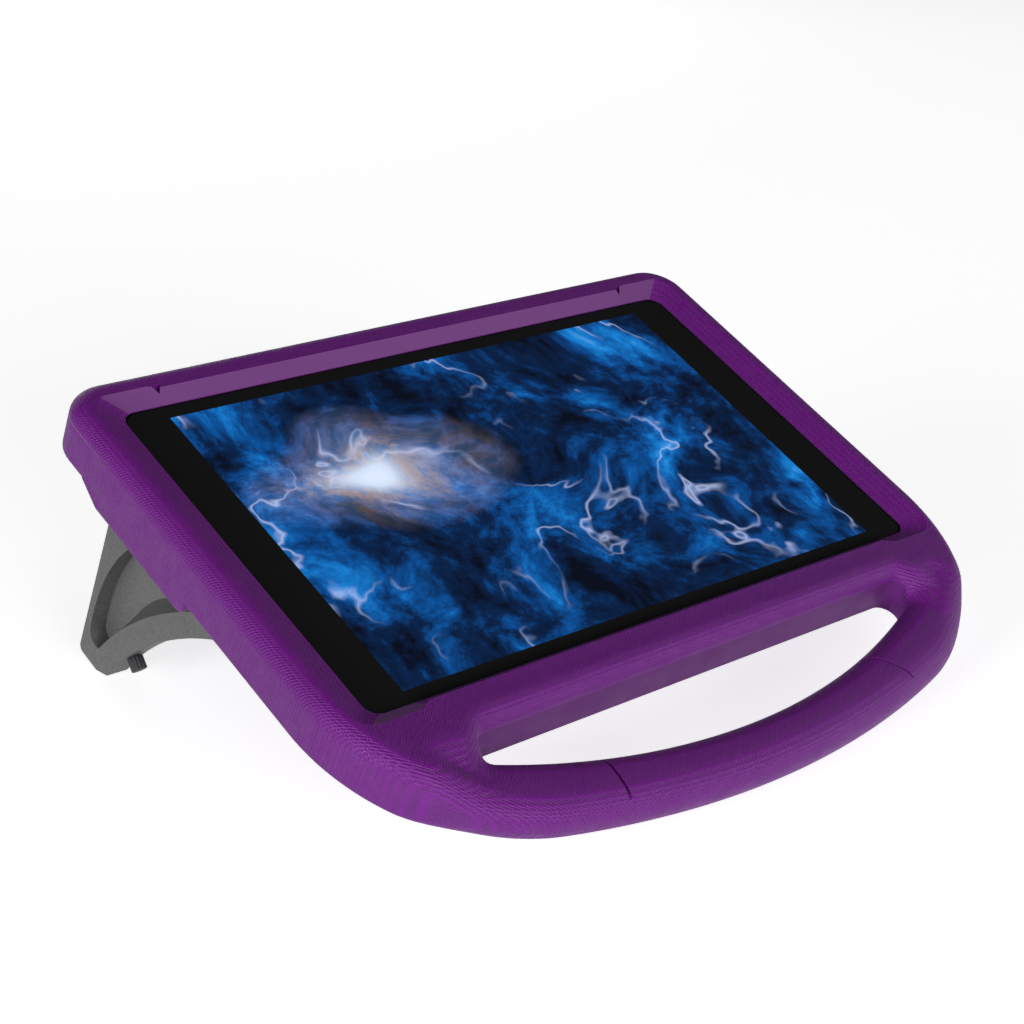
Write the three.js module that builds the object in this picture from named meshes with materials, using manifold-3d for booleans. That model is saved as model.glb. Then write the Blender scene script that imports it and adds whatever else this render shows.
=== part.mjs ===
// A child's tablet case: a thick moulded foam shell with a wide carrying handle along its lower edge,
// a tablet held in it, and two folding legs that prop its rear edge up. Millimetres, +Z up.
// Every piece is laid out in the tablet's own plane (x across, y up the screen, z out of the glass),
// and the whole is then tilted as it stands on a table, on its two feet and on the handle.

import * as THREE from 'three';
import { mergeVertices } from 'three/addons/utils/BufferGeometryUtils.js';
import Module from 'manifold-3d';

const wasm = await Module();
wasm.setup();

// Driving dimensions: clearances
const fit = 0.3;
const hingeGap = 0.35;

// Driving dimensions: the tablet
const tabletWidth = 252.2;
const tabletDepth = 149.4;
const tabletThickness = 7.5;
const tabletCornerRadius = 7;
const glassThickness = 0.8;
const glassBorder = 1.0;
const housingWall = 3.0;
const housingFloor = 0.9;
const panelBorder = 1.9;
const panelJackGap = 1.8;
const panelThickness = 1.5;
const batteryGap = 10.6;
const batteryMargin = 26.7;
const batteryThickness = 3.0;
const boardWidth = 30;
const boardMargin = 16.7;
const boardThickness = 1.0;
const boardInset = 6;
const chipHeight = 1.3;
const speakerWidth = 13;
const speakerDepth = 27;
const speakerThickness = 2.9;
const speakerInset = 5;
const speakerFromEdge = 30.7;
const cameraFromEdge = 17.7;
const cameraRadius = 4.5;
const cameraProud = 0.4;
const cameraFlange = 1.6;
const portWidth = 9;
const portHeight = 3.2;
const portDepth = 7.4;
const portWall = 0.4;
const jackFromEdge = 12.7;
const jackRadius = 2.3;
const jackBore = 1.75;
const jackDepth = 13.5;
const keyThickness = 2.4;
const keyLevel = -4.3;
const keyTravel = 0.5;
const keyFlush = 0.1;
const keyFlange = 0.9;
const keyFlangeReach = 0.3;
const powerKeyFromSide = 68.1;
const powerKeyLength = 12;
const volumeKeyFromSide = 40.1;
const volumeKeyLength = 23;
const portLevel = -4.0;

// Driving dimensions: the foam shell
const sideWall = 14.9;
const topWall = 14.8;
const shellTopCorner = 15.5;
const rimHeight = 4;
const foamBehindTablet = 8;
const rimRadius = 5;
const backEdgeRadius = 1.6;
const lipOverlap = 1.1;
const lipThickness = 0.4;
const lipCornerRadius = 5.5;
const sideCrest = 2.5;
const bandTopWidth = 5.5;
const bandTopEndWidth = 7.2;
const bandBottomWidth = 3.9;
const bandBottomEndWidth = 6.2;
const bandEndInset = 19;
const bandEndBlend = 5;
const bandCornerRadius = 6;
const bandBottomCornerRadius = 9;

// Driving dimensions: the handle and its slot
const handleSpan = 49.2;
const handleBow = 8.5;
const handleCornerRise = 16.2;
const handleWidth = 20;
const handleTop = -0.9;
const handleThickness = 15;
const handleRadius = 6.4;
const deckDepth = 16.1;
const slotSideWall = 38.2;
const slotEndRadius = 5;
const slotBackEdgeRadius = 1.2;
const handleSplit = 3;
const shoulderInset = 5.2;
const shoulderRun = 26;
const creaseFromSide = 76;
const creaseWidth = 1.1;
const creaseDepth = 1.3;

// Driving dimensions: cut-outs in the shell
const windowHeight = 9;
const windowTop = 0.6;
const windowCorner = 2.5;
const portWindow = 17;
const jackWindow = 11;
const speakerWindow = 22;
const keyWindowMargin = 5;
const keyWindowFlare = 3;
const cameraHoleInner = 8.5;
const cameraHoleOuter = 14;

// Driving dimensions: the stand
const tiltDegrees = 25.735;
const legInset = 22.5;
const legThickness = 9.7;
const legRearInset = 15.1;
const legReach = 94.4;
const footDepth = 18.6;
const footFlat = 6;
const footCorner = 3;
const legEdgeRound = 0.8;
const archFootLean = 10.8;
const archFootRise = 28.3;
const archTopRun = 39;
const archTopDrop = 21;
const pocketDepth = 6.5;
const pocketArchRim = 9.4;
const pocketRearRim = 3.8;
const pocketTopRim = 6.5;
const pocketFootRim = 9.5;
const pocketTopFromRear = 30;
const pocketTip = 8;
const hingeRadius = 4.85;
const pinRadius = 1.5;
const pinHeadRadius = 2.4;
const pinHeadLength = 1.2;
const barrelSteps = 24;
const hingeForward = 4;
const knuckleLengths = [11, 29, 23, 27, 11];
const knobRadius = 4.4;
const knobLength = 4.6;
const knobRibs = 12;
const knobRibDepth = 0.45;
const knobStemRadius = 1.6;
const knobStemLength = 4.5;
const knobAlongArch = 0.17;

// Driving dimensions: what holds the hinges to the foam
const bracketThickness = 2.4;
const bracketInboard = 13;
const bracketOutboard = 8;
const bracketCorner = 2.5;
const clampThickness = 2.0;
const clampWidth = 13;
const screwRadius = 1.25;
const screwHeadRadius = 2.6;
const screwHeadHeight = 1.1;
const screwBossRadius = 3.2;
const screwInboard = 5;
const screwInset = 12;
const screwBlind = 0.8;
const guardHeight = 4.9;
const guardWidth = 15.6;
const guardRearInset = 23.5;
const guardLength = 53;
const guardSlope = 11;
const guardNose = 4;
const guardRound = 1.2;

// Levels and edges that follow from them
const sumOf = (numbers) => numbers.reduce((sum, next) => sum + next, 0);
const tilt = THREE.MathUtils.degToRad(tiltDegrees);
const pocketFloor = -tabletThickness - fit;
const shellBack = pocketFloor - foamBehindTablet;
const shellHalf = tabletWidth / 2 + sideWall;
const shellTop = tabletDepth / 2 + topWall;
const slotRearWall = tabletDepth / 2 + deckDepth;
const slotHalf = shellHalf - slotSideWall;
const handleReach = slotRearWall + handleSpan;
const shoulderStart = slotRearWall + shoulderInset;
const shoulderEnd = shoulderStart + shoulderRun;
const creaseAt = shellHalf - creaseFromSide;
const handleFrom = -(slotRearWall + slotEndRadius + handleSplit);
const bandSideWidth = sideWall + lipOverlap - rimRadius - sideCrest;
const bandEndFrom = tabletWidth / 2 - lipOverlap - bandEndInset;
const legOuterFace = shellHalf - legInset;
const legRearEdge = shellTop - legRearInset;
const legFrontEdge = legRearEdge - legReach;
const footFront = legRearEdge - footDepth;
const guardRear = shellTop - guardRearInset;
const guardFront = guardRear - guardLength;
const hingeStart = legFrontEdge - hingeForward;
const knuckleEnds = knuckleLengths.map((_, i) => hingeStart + sumOf(knuckleLengths.slice(0, i + 1)));
const glassHalfX = tabletWidth / 2 - lipOverlap;
const glassHalfY = tabletDepth / 2 - lipOverlap;
const handleBottom = handleTop - handleThickness;
const hingeX = legOuterFace - legThickness / 2;
const hingeDrop = hingeRadius + 2 * hingeGap;
const hingeZ = shellBack - hingeDrop;
const hingeEnd = knuckleEnds.at(-1);
const housingInside = -tabletThickness + housingFloor;
const partFloor = housingInside + fit;
const panelTop = -glassThickness - fit;
const insideHalfX = tabletWidth / 2 - housingWall;
const insideHalfY = tabletDepth / 2 - housingWall;
const panelHalfX = tabletWidth / 2 - fit - jackDepth - panelJackGap;
const panelHalfY = insideHalfY - panelBorder;
const speakerOffset = tabletDepth / 2 - speakerFromEdge;
const cameraOffset = tabletDepth / 2 - cameraFromEdge;
const jackOffset = tabletDepth / 2 - jackFromEdge;
const powerKeyAt = powerKeyFromSide - tabletWidth / 2;
const volumeKeyAt = volumeKeyFromSide - tabletWidth / 2;
const windowFloor = -windowTop - windowHeight;
const boardLeft = -insideHalfX + boardInset;
const boardDepth = tabletDepth - 2 * boardMargin;
const batteryHalfX = -(boardLeft + boardWidth + batteryGap);
const batteryDepth = tabletDepth - 2 * batteryMargin;
const screwX = hingeX - screwInboard;
const screwYs = [hingeStart + screwInset, hingeEnd - screwInset];
const clampBase = pocketFloor - fit - clampThickness;
const bracketTop = shellBack + bracketThickness;

const foam = new THREE.MeshStandardMaterial({ color: 0x5a1a78, roughness: 0.72, metalness: 0 });
const standPlastic = new THREE.MeshStandardMaterial({ color: 0x5c5c5c, roughness: 0.6, metalness: 0 });
const knobRubber = new THREE.MeshStandardMaterial({ color: 0x2e2e30, roughness: 0.75, metalness: 0 });
const steel = new THREE.MeshStandardMaterial({ color: 0xb4b6ba, roughness: 0.32, metalness: 1 });
const coverGlass = new THREE.MeshStandardMaterial({ color: 0x181818, roughness: 0.12, metalness: 0 });
const housingMetal = new THREE.MeshStandardMaterial({ color: 0x3a3c40, roughness: 0.45, metalness: 0.8 });
const panelMaterial = new THREE.MeshStandardMaterial({ color: 0x163a6e, roughness: 0.4, metalness: 0 });
const cellWrap = new THREE.MeshStandardMaterial({ color: 0x25272a, roughness: 0.5, metalness: 0 });
const boardGreen = new THREE.MeshStandardMaterial({ color: 0x1c5a3a, roughness: 0.55, metalness: 0 });
const blackPlastic = new THREE.MeshStandardMaterial({ color: 0x17181a, roughness: 0.5, metalness: 0 });

const smoothStep = (from, to, value) => THREE.MathUtils.smoothstep(value, from, to);

// Turns a three.js geometry into a closed solid, with its shared corners merged
function solidOf(geometry) {
  const bare = geometry.clone();
  bare.deleteAttribute('normal');
  bare.deleteAttribute('uv');
  const merged = mergeVertices(bare, 1e-5);
  const vertProperties = new Float32Array(merged.attributes.position.array);
  const triVerts = new Uint32Array(merged.index.array);
  return new wasm.Manifold(new wasm.Mesh({ numProp: 3, vertProperties, triVerts }));
}

// Turns a closed solid back into a three.js geometry
function geometryOf(solid) {
  const mesh = solid.getMesh();
  const geometry = new THREE.BufferGeometry();
  const corners = new Float32Array(mesh.numVert * 3);
  for (let i = 0; i < mesh.numVert; i += 1) {
    for (let axis = 0; axis < 3; axis += 1) {
      corners[3 * i + axis] = mesh.vertProperties[mesh.numProp * i + axis];
    }
  }
  geometry.setAttribute('position', new THREE.BufferAttribute(corners, 3));
  geometry.setIndex(new THREE.BufferAttribute(new Uint32Array(mesh.triVerts), 1));
  geometry.computeVertexNormals();
  return geometry;
}

const join = (first, ...rest) => rest.reduce((sum, next) => sum.add(solidOf(next)), first);
const cut = (first, ...rest) => rest.reduce((left, next) => left.subtract(solidOf(next)), first);

function meshOf(name, solid, material) {
  const mesh = new THREE.Mesh(geometryOf(solid), material);
  mesh.name = name;
  return mesh;
}

// A solid's mirror image across the plane x = 0, with its faces turned the right way out again
function mirroredX(solid) {
  const geometry = geometryOf(solid);
  geometry.scale(-1, 1, 1);
  const index = geometry.index.array;
  for (let i = 0; i < index.length; i += 3) {
    [index[i], index[i + 1]] = [index[i + 1], index[i]];
  }
  return solidOf(geometry);
}

// Points of a circular arc, from one angle to another, both ends included
function arc(cx, cy, radius, from, to, steps) {
  const points = [];
  for (let i = 0; i <= steps; i += 1) {
    const angle = from + ((to - from) * i) / steps;
    points.push(new THREE.Vector2(cx + radius * Math.cos(angle), cy + radius * Math.sin(angle)));
  }
  return points;
}

function roundedRectangle(x0, y0, x1, y1, radius) {
  const shape = new THREE.Shape();
  shape.moveTo(x0 + radius, y0);
  shape.lineTo(x1 - radius, y0);
  shape.absarc(x1 - radius, y0 + radius, radius, -Math.PI / 2, 0, false);
  shape.lineTo(x1, y1 - radius);
  shape.absarc(x1 - radius, y1 - radius, radius, 0, Math.PI / 2, false);
  shape.lineTo(x0 + radius, y1);
  shape.absarc(x0 + radius, y1 - radius, radius, Math.PI / 2, Math.PI, false);
  shape.lineTo(x0, y0 + radius);
  shape.absarc(x0 + radius, y0 + radius, radius, Math.PI, 1.5 * Math.PI, false);
  return shape;
}

// An outline given thickness along +z from 0; round is the size of its rounded rims, front and back
function thicken(shape, thickness, { round = 0, curveSegments = 3 } = {}) {
  const geometry = new THREE.ExtrudeGeometry(shape, {
    depth: thickness - 2 * round,
    bevelEnabled: round > 0,
    bevelThickness: round,
    bevelSize: round,
    bevelOffset: -round,
    bevelSegments: 1,
    curveSegments,
  });
  return geometry.translate(0, 0, round);
}

// A prism of a plan outline, between two levels
const prism = (shape, z0, z1, options) => thicken(shape, z1 - z0, options).translate(0, 0, z0);

const plate = (width, depth, radius, z0, z1) =>
  prism(roundedRectangle(-width / 2, -depth / 2, width / 2, depth / 2, radius), z0, z1);

function block(x0, x1, y0, y1, z0, z1) {
  const geometry = new THREE.BoxGeometry(x1 - x0, y1 - y0, z1 - z0);
  return geometry.translate((x0 + x1) / 2, (y0 + y1) / 2, (z0 + z1) / 2);
}

// A profile drawn in x and z, run along y from y0 to y1
const runAlongY = (shape, y0, y1, options) => thicken(shape, y1 - y0, options).rotateX(Math.PI / 2).translate(0, y1, 0);

// A profile drawn in y and z, run along x from x0 to x1
const runAlongX = (shape, x0, x1, options) => thicken(shape, x1 - x0, options).applyMatrix4(yzPlane).translate(x0, 0, 0);

const yzPlane = new THREE.Matrix4().makeBasis(
  new THREE.Vector3(0, 1, 0),
  new THREE.Vector3(0, 0, 1),
  new THREE.Vector3(1, 0, 0),
);

const rodAlongY = (radius, y0, y1, steps = barrelSteps) =>
  new THREE.CylinderGeometry(radius, radius, y1 - y0, steps).translate(0, (y0 + y1) / 2, 0);

const rodAlongZ = (radius, z0, z1, steps = 20) =>
  new THREE.CylinderGeometry(radius, radius, z1 - z0, steps).rotateX(Math.PI / 2).translate(0, 0, (z0 + z1) / 2);

const rodAlongX = (radius, x0, x1, steps = 20) =>
  new THREE.CylinderGeometry(radius, radius, x1 - x0, steps).rotateZ(Math.PI / 2).translate((x0 + x1) / 2, 0, 0);

// A skin built loop by loop: neighbouring loops of equally many points are bridged, and flat or gently
// sloping regions between loops are capped
class Skin {
  constructor() {
    this.corners = [];
    this.faces = [];
  }

  loop(points) {
    const first = this.corners.length;
    this.corners.push(...points);
    return points.map((_, i) => first + i);
  }

  bridge(lower, upper) {
    for (let i = 0; i < lower.length; i += 1) {
      const j = (i + 1) % lower.length;
      this.faces.push([lower[i], lower[j], upper[j]], [lower[i], upper[j], upper[i]]);
    }
  }

  bridgeAll(loops) {
    loops.slice(1).forEach((upper, i) => this.bridge(loops[i], upper));
  }

  cap(outer, holes, faceUp) {
    const flat = (loop) => loop.map((i) => new THREE.Vector2(this.corners[i].x, this.corners[i].y));
    const all = [...outer, ...holes.flat()];
    for (const [a, b, c] of THREE.ShapeUtils.triangulateShape(flat(outer), holes.map(flat))) {
      const up = this.turn(all[a], all[b], all[c]) > 0;
      this.faces.push(up === faceUp ? [all[a], all[b], all[c]] : [all[a], all[c], all[b]]);
    }
  }

  // Closes a convex level loop from its middle, so that points along straight sides are kept
  fan(loop, faceUp) {
    const middle = new THREE.Vector3();
    loop.forEach((i) => middle.addScaledVector(this.corners[i], 1 / loop.length));
    const [centre] = this.loop([middle]);
    loop.forEach((i, n) => {
      const j = loop[(n + 1) % loop.length];
      this.faces.push(faceUp ? [centre, i, j] : [centre, j, i]);
    });
  }

  turn(a, b, c) {
    const [p, q, r] = [this.corners[a], this.corners[b], this.corners[c]];
    return (q.x - p.x) * (r.y - p.y) - (q.y - p.y) * (r.x - p.x);
  }

  geometry() {
    const geometry = new THREE.BufferGeometry();
    const corners = new Float32Array(this.corners.flatMap((p) => [p.x, p.y, p.z]));
    geometry.setAttribute('position', new THREE.BufferAttribute(corners, 3));
    geometry.setIndex(this.faces.flat());
    return geometry;
  }
}

// Radius of an arc that is centred on x = 0, reaches y = lowest there and meets, without a kink, a
// smaller arc of radius end whose centre is at x, y
const touchingArc = (x, y, end, lowest) => (x ** 2 + (y - lowest) ** 2 - end ** 2) / (2 * (y - lowest - end));

const handleCornerY = handleCornerRise - tabletDepth / 2;
const handleCornerArc = handleCornerY + handleReach - handleBow;
const handleCornerX = shellHalf - handleCornerArc;
const handleOuterArc = touchingArc(handleCornerX, handleCornerY, handleCornerArc, -handleReach);
const slotEndX = slotHalf - slotEndRadius;
const slotEndY = -slotRearWall - slotEndRadius;
const slotFrontArc = touchingArc(slotEndX, slotEndY, slotEndRadius, handleWidth - handleReach);

// Plan outline of the shell and handle: straight sides, round top corners, and a wide D below.
// Inset moves every point square to the edge, so outlines of different insets match point for point.
function shellOutline(inset) {
  const arcY = handleOuterArc - handleReach;
  const spread = Math.atan2(handleCornerX, arcY - handleCornerY);
  const down = -Math.PI / 2;
  const topX = shellHalf - shellTopCorner;
  const topY = shellTop - shellTopCorner;
  return [
    ...arc(0, arcY, handleOuterArc - inset, down - spread, down + spread, 18).slice(0, -1),
    ...arc(handleCornerX, handleCornerY, handleCornerArc - inset, down + spread, 0, 12),
    ...arc(topX, topY, shellTopCorner - inset, 0, Math.PI / 2, 8),
    ...arc(-topX, topY, shellTopCorner - inset, Math.PI / 2, Math.PI, 8),
    ...arc(-handleCornerX, handleCornerY, handleCornerArc - inset, Math.PI, 1.5 * Math.PI - spread, 12).slice(0, -1),
  ];
}

// Plan outline of the handle's slot: a straight rear wall, round ends and a bowed front
function slotOutline(outset) {
  const arcY = slotFrontArc - handleReach + handleWidth;
  const spread = Math.atan2(slotEndX, arcY - slotEndY);
  const down = -Math.PI / 2;
  const end = slotEndRadius + outset;
  return [
    ...arc(0, arcY, slotFrontArc + outset, down - spread, down + spread, 18).slice(0, -1),
    ...arc(slotEndX, slotEndY, end, down + spread, Math.PI / 2, 11),
    ...arc(-slotEndX, slotEndY, end, Math.PI / 2, 1.5 * Math.PI - spread, 11).slice(0, -1),
  ];
}

// Share of the way from the case (0) to the handle (1) at a height y of the plan
const towardsHandle = (y) => smoothStep(shoulderStart, shoulderEnd, -y);
const topLevel = (y) => THREE.MathUtils.lerp(rimHeight, handleTop, towardsHandle(y));
const backLevel = (y) => THREE.MathUtils.lerp(shellBack, handleBottom, towardsHandle(y));
const rimRadiusAt = (y) => THREE.MathUtils.lerp(rimRadius, handleRadius, towardsHandle(y));
const backRadiusAt = (y) => THREE.MathUtils.lerp(backEdgeRadius, handleRadius, towardsHandle(y));
const slotBackRadiusAt = (y) => THREE.MathUtils.lerp(slotBackEdgeRadius, handleRadius, towardsHandle(y));

// Loops of a wall with rounded upper and lower edges, from its back ring up to its top ring.
// Moved is the same outline one millimetre further into the material.
function wallLoops(outline, moved, topRadius, backRadius, topSteps, backSteps) {
  const at = (i, depth, z) => {
    const x = THREE.MathUtils.lerp(outline[i].x, moved[i].x, depth);
    const y = THREE.MathUtils.lerp(outline[i].y, moved[i].y, depth);
    return new THREE.Vector3(x, y, z(y));
  };
  const ring = (radius, edge, side, share) => outline.map((_, i) => {
    const r = radius(outline[i].y);
    const angle = (share * Math.PI) / 2;
    const crest = at(i, r, () => 0).y;
    return at(i, r * (1 - Math.cos(angle)), () => edge(crest) - side * r * (1 - Math.sin(angle)));
  });
  const loops = [];
  for (let k = backSteps; k >= 0; k -= 1) {
    loops.push(ring(backRadius, backLevel, -1, k / backSteps));
  }
  for (let k = 0; k <= topSteps; k += 1) {
    loops.push(ring(topRadius, topLevel, 1, k / topSteps));
  }
  return loops;
}

// One loop round the tablet, at a level: the same count of points for the lip, the band's crest and the
// pocket. Grow moves a side outwards; along the top and bottom it differs between the middle and the ends.
function tabletLoop(z, { halfX, halfY, radius, bottomRadius = radius, side = 0, top = [0, 0], bottom = [0, 0] }) {
  const x = halfX + side;
  const topEnd = halfY + top[1];
  const bottomEnd = -halfY - bottom[1];
  const far = bandEndFrom + bandEndBlend;
  const quarter = Math.PI / 2;
  const corner = (cx, cy, r, from) => arc(cx, cy, r, from, from + quarter, 5);
  const loop = [
    ...[[-far, bottomEnd], [-bandEndFrom, -halfY - bottom[0]]],
    ...[[bandEndFrom, -halfY - bottom[0]], [far, bottomEnd]],
    ...corner(x - bottomRadius, bottomEnd + bottomRadius, bottomRadius, -quarter),
    ...corner(x - radius, topEnd - radius, radius, 0),
    ...[[far, topEnd], [bandEndFrom, halfY + top[0]]],
    ...[[-bandEndFrom, halfY + top[0]], [-far, topEnd]],
    ...corner(radius - x, topEnd - radius, radius, quarter),
    ...corner(bottomRadius - x, bottomEnd + bottomRadius, bottomRadius, 2 * quarter),
  ];
  return loop.map((p) => (Array.isArray(p) ? new THREE.Vector3(...p, z) : new THREE.Vector3(p.x, p.y, z)));
}

function foamShell() {
  const skin = new Skin();
  const rims = (loops) => loops.map((points) => skin.loop(points));
  const outer = rims(wallLoops(shellOutline(0), shellOutline(1), rimRadiusAt, backRadiusAt, 6, 3));
  const slot = rims(wallLoops(slotOutline(0), slotOutline(1), () => handleRadius, slotBackRadiusAt, 6, 3));
  const lip = { halfX: glassHalfX, halfY: glassHalfY, radius: lipCornerRadius };
  const band = {
    ...lip,
    radius: bandCornerRadius,
    bottomRadius: bandBottomCornerRadius,
    side: bandSideWidth,
    top: [bandTopWidth, bandTopEndWidth],
    bottom: [bandBottomWidth, bandBottomEndWidth],
  };
  const walls = { halfX: tabletWidth / 2 + fit, halfY: tabletDepth / 2 + fit, radius: tabletCornerRadius + fit };
  const crest = skin.loop(tabletLoop(rimHeight, band));
  const lipTop = skin.loop(tabletLoop(fit + lipThickness, lip));
  const lipFoot = skin.loop(tabletLoop(fit, lip));
  const pocket = [fit, pocketFloor].map((z) => skin.loop(tabletLoop(z, walls)));
  skin.bridgeAll(outer);
  skin.bridgeAll([...slot].reverse());
  skin.bridgeAll([crest, lipTop, lipFoot, ...pocket]);
  skin.cap(outer.at(-1), [slot.at(-1), crest], true);
  skin.cap(outer[0], [slot[0]], false);
  skin.fan(pocket[1], true);
  return solidOf(skin.geometry());
}

// The ridge on the shell's back beside each leg: a sloped rear end, a rounded front end, flush outside
function guard() {
  const low = shellBack - guardHeight;
  const inside = shellBack + guardHeight;
  const shape = new THREE.Shape();
  shape.moveTo(guardFront, inside);
  shape.lineTo(guardFront, low + guardNose);
  shape.absarc(guardFront + guardNose, low + guardNose, guardNose, Math.PI, 1.5 * Math.PI, false);
  shape.lineTo(guardRear - guardSlope, low);
  shape.lineTo(guardRear, shellBack);
  shape.lineTo(guardRear, inside);
  return solidOf(runAlongX(shape, shellHalf - guardWidth, shellHalf, { round: guardRound }));
}

// A window through the right wall at a height y of the plan, for what plugs in or sounds there
function sideWindow(y, width) {
  const shape = roundedRectangle(y - width / 2, windowFloor, y + width / 2, -windowTop, windowCorner);
  return runAlongX(shape, tabletWidth / 2 - fit, shellHalf + fit, { curveSegments: 3 });
}

// The window over the keys in the top wall, whose floor falls away outwards for a fingertip
function keyWindow() {
  const left = volumeKeyAt - volumeKeyLength / 2 - keyWindowMargin;
  const right = powerKeyAt + powerKeyLength / 2 + keyWindowMargin;
  const [inner, outer] = [tabletDepth / 2 - fit, shellTop + fit];
  const shape = new THREE.Shape();
  shape.moveTo(inner, windowFloor);
  shape.lineTo(outer, windowFloor - keyWindowFlare);
  shape.lineTo(outer, -windowTop);
  shape.lineTo(inner, -windowTop);
  return runAlongX(shape, left, right);
}

function cameraHole() {
  const flare = [
    new THREE.Vector2(0, shellBack - fit),
    new THREE.Vector2(cameraHoleOuter, shellBack - fit),
    new THREE.Vector2(cameraHoleInner, pocketFloor + fit),
    new THREE.Vector2(0, pocketFloor + fit),
  ];
  return new THREE.LatheGeometry(flare, 32).rotateX(Math.PI / 2).translate(0, cameraOffset, 0);
}

// A shallow moulded crease over the handle: a thin collar whose core is the handle's section, set a
// little outwards and down, so that the groove fades away over the front
function handleCrease(side) {
  const x = side * creaseAt;
  const outerY = handleOuterArc - handleReach - Math.sqrt(handleOuterArc ** 2 - x ** 2);
  const slotArcY = slotFrontArc - handleReach + handleWidth;
  const innerY = slotArcY - Math.sqrt(slotFrontArc ** 2 - x ** 2);
  const turn = Math.atan2(x, slotArcY - innerY);
  const half = ((innerY - outerY) * Math.cos(turn)) / 2;
  const reach = half + 4 * creaseDepth;
  const collar = roundedRectangle(-reach, -handleThickness, reach, handleThickness, creaseDepth);
  const [low, high] = [-handleThickness / 2 - creaseDepth, handleThickness / 2 - creaseDepth];
  collar.holes.push(roundedRectangle(-half - creaseDepth, low, half - creaseDepth, high, handleRadius));
  const centreZ = (handleTop + handleBottom) / 2;
  return thicken(collar, creaseWidth, { curveSegments: 8 })
    .translate(0, 0, -creaseWidth / 2)
    .applyMatrix4(yzPlane)
    .rotateZ(turn)
    .translate(x, (innerY + outerY) / 2, centreZ);
}

// Hollows in the shell for one hinge's bracket, its bosses and its clamp plate, on the +x side
function hingeHollows() {
  const recess = roundedRectangle(
    hingeX - bracketInboard - fit,
    hingeStart - fit,
    hingeX + bracketOutboard + fit,
    hingeEnd + fit,
    bracketCorner + fit,
  );
  const seat = roundedRectangle(
    screwX - clampWidth / 2 - fit,
    hingeStart - fit,
    screwX + clampWidth / 2 + fit,
    hingeEnd + fit,
    bracketCorner + fit,
  );
  return [
    prism(recess, shellBack - 1, bracketTop + fit),
    prism(seat, clampBase - fit, pocketFloor + 1),
    ...screwYs.map((y) => rodAlongZ(screwBossRadius + fit, bracketTop, pocketFloor).translate(screwX, y, 0)),
  ];
}

function caseShell() {
  const guards = [guard(), mirroredX(guard())];
  const hollows = hingeHollows().map(solidOf);
  const windows = [
    sideWindow(0, portWindow),
    sideWindow(jackOffset, jackWindow),
    sideWindow(speakerOffset, speakerWindow / 2),
    sideWindow(-speakerOffset, speakerWindow),
    keyWindow(),
    cameraHole(),
    handleCrease(1),
    handleCrease(-1),
  ];
  let solid = guards.reduce((sum, next) => sum.add(next), foamShell());
  for (const hollow of hollows) {
    solid = solid.subtract(hollow).subtract(mirroredX(hollow));
  }
  return cut(solid, ...windows);
}

// The tablet's housing: a tray with a ledge for the glass, and openings for its keys, port, jack and lens
function tabletHousing() {
  const lean = (inset) => [tabletWidth - 2 * inset, tabletDepth - 2 * inset, tabletCornerRadius - inset / 2];
  const keySlot = (x, length) => block(
    x - length / 2 - fit,
    x + length / 2 + fit,
    insideHalfY - 1,
    tabletDepth / 2 + 1,
    keyLevel - keyThickness / 2 - fit,
    keyLevel + keyThickness / 2 + fit,
  );
  return cut(
    solidOf(plate(...lean(0), -tabletThickness, 0)),
    plate(...lean(glassBorder), panelTop, 1),
    plate(...lean(housingWall), housingInside, 1),
    rodAlongZ(cameraRadius + fit, -tabletThickness - 1, housingInside + 1, 28).translate(0, cameraOffset, 0),
    portShape(portWidth / 2 + fit, portHeight / 2 + fit, insideHalfX - 1, tabletWidth / 2 + 1),
    rodAlongX(jackRadius + fit, insideHalfX - 1, tabletWidth / 2 + 1).translate(0, jackOffset, portLevel),
    keySlot(powerKeyAt, powerKeyLength),
    keySlot(volumeKeyAt, volumeKeyLength),
  );
}

// A flat-oval bar along x, for the port's shell and its opening
function portShape(halfWidth, halfHeight, x0, x1) {
  const shape = roundedRectangle(-halfWidth, -halfHeight, halfWidth, halfHeight, halfHeight - 0.01);
  return runAlongX(shape, x0, x1, { curveSegments: 4 }).translate(0, 0, portLevel);
}

function usbPort() {
  const end = tabletWidth / 2 - fit;
  const start = end - portDepth;
  return cut(
    solidOf(portShape(portWidth / 2, portHeight / 2, start, end)),
    portShape(portWidth / 2 - portWall, portHeight / 2 - portWall, start + portWall, end + 1),
  );
}

function audioJack() {
  const end = tabletWidth / 2 - fit;
  return cut(
    solidOf(rodAlongX(jackRadius, end - jackDepth, end)),
    rodAlongX(jackBore, end - jackDepth + 1, end + 1),
  );
}

// A key: a bar through the housing's wall with a flange behind it that keeps it in
function key(length) {
  const outer = tabletDepth / 2 + keyTravel + keyFlush;
  const inner = insideHalfY - fit;
  const half = keyThickness / 2;
  return join(
    solidOf(block(-length / 2, length / 2, inner - keyFlange / 2, outer, -half, half)),
    block(
      -length / 2 - keyFlangeReach - fit,
      length / 2 + keyFlangeReach + fit,
      inner - keyFlange,
      inner,
      -half - keyFlangeReach,
      half + keyFlangeReach,
    ),
  );
}

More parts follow.
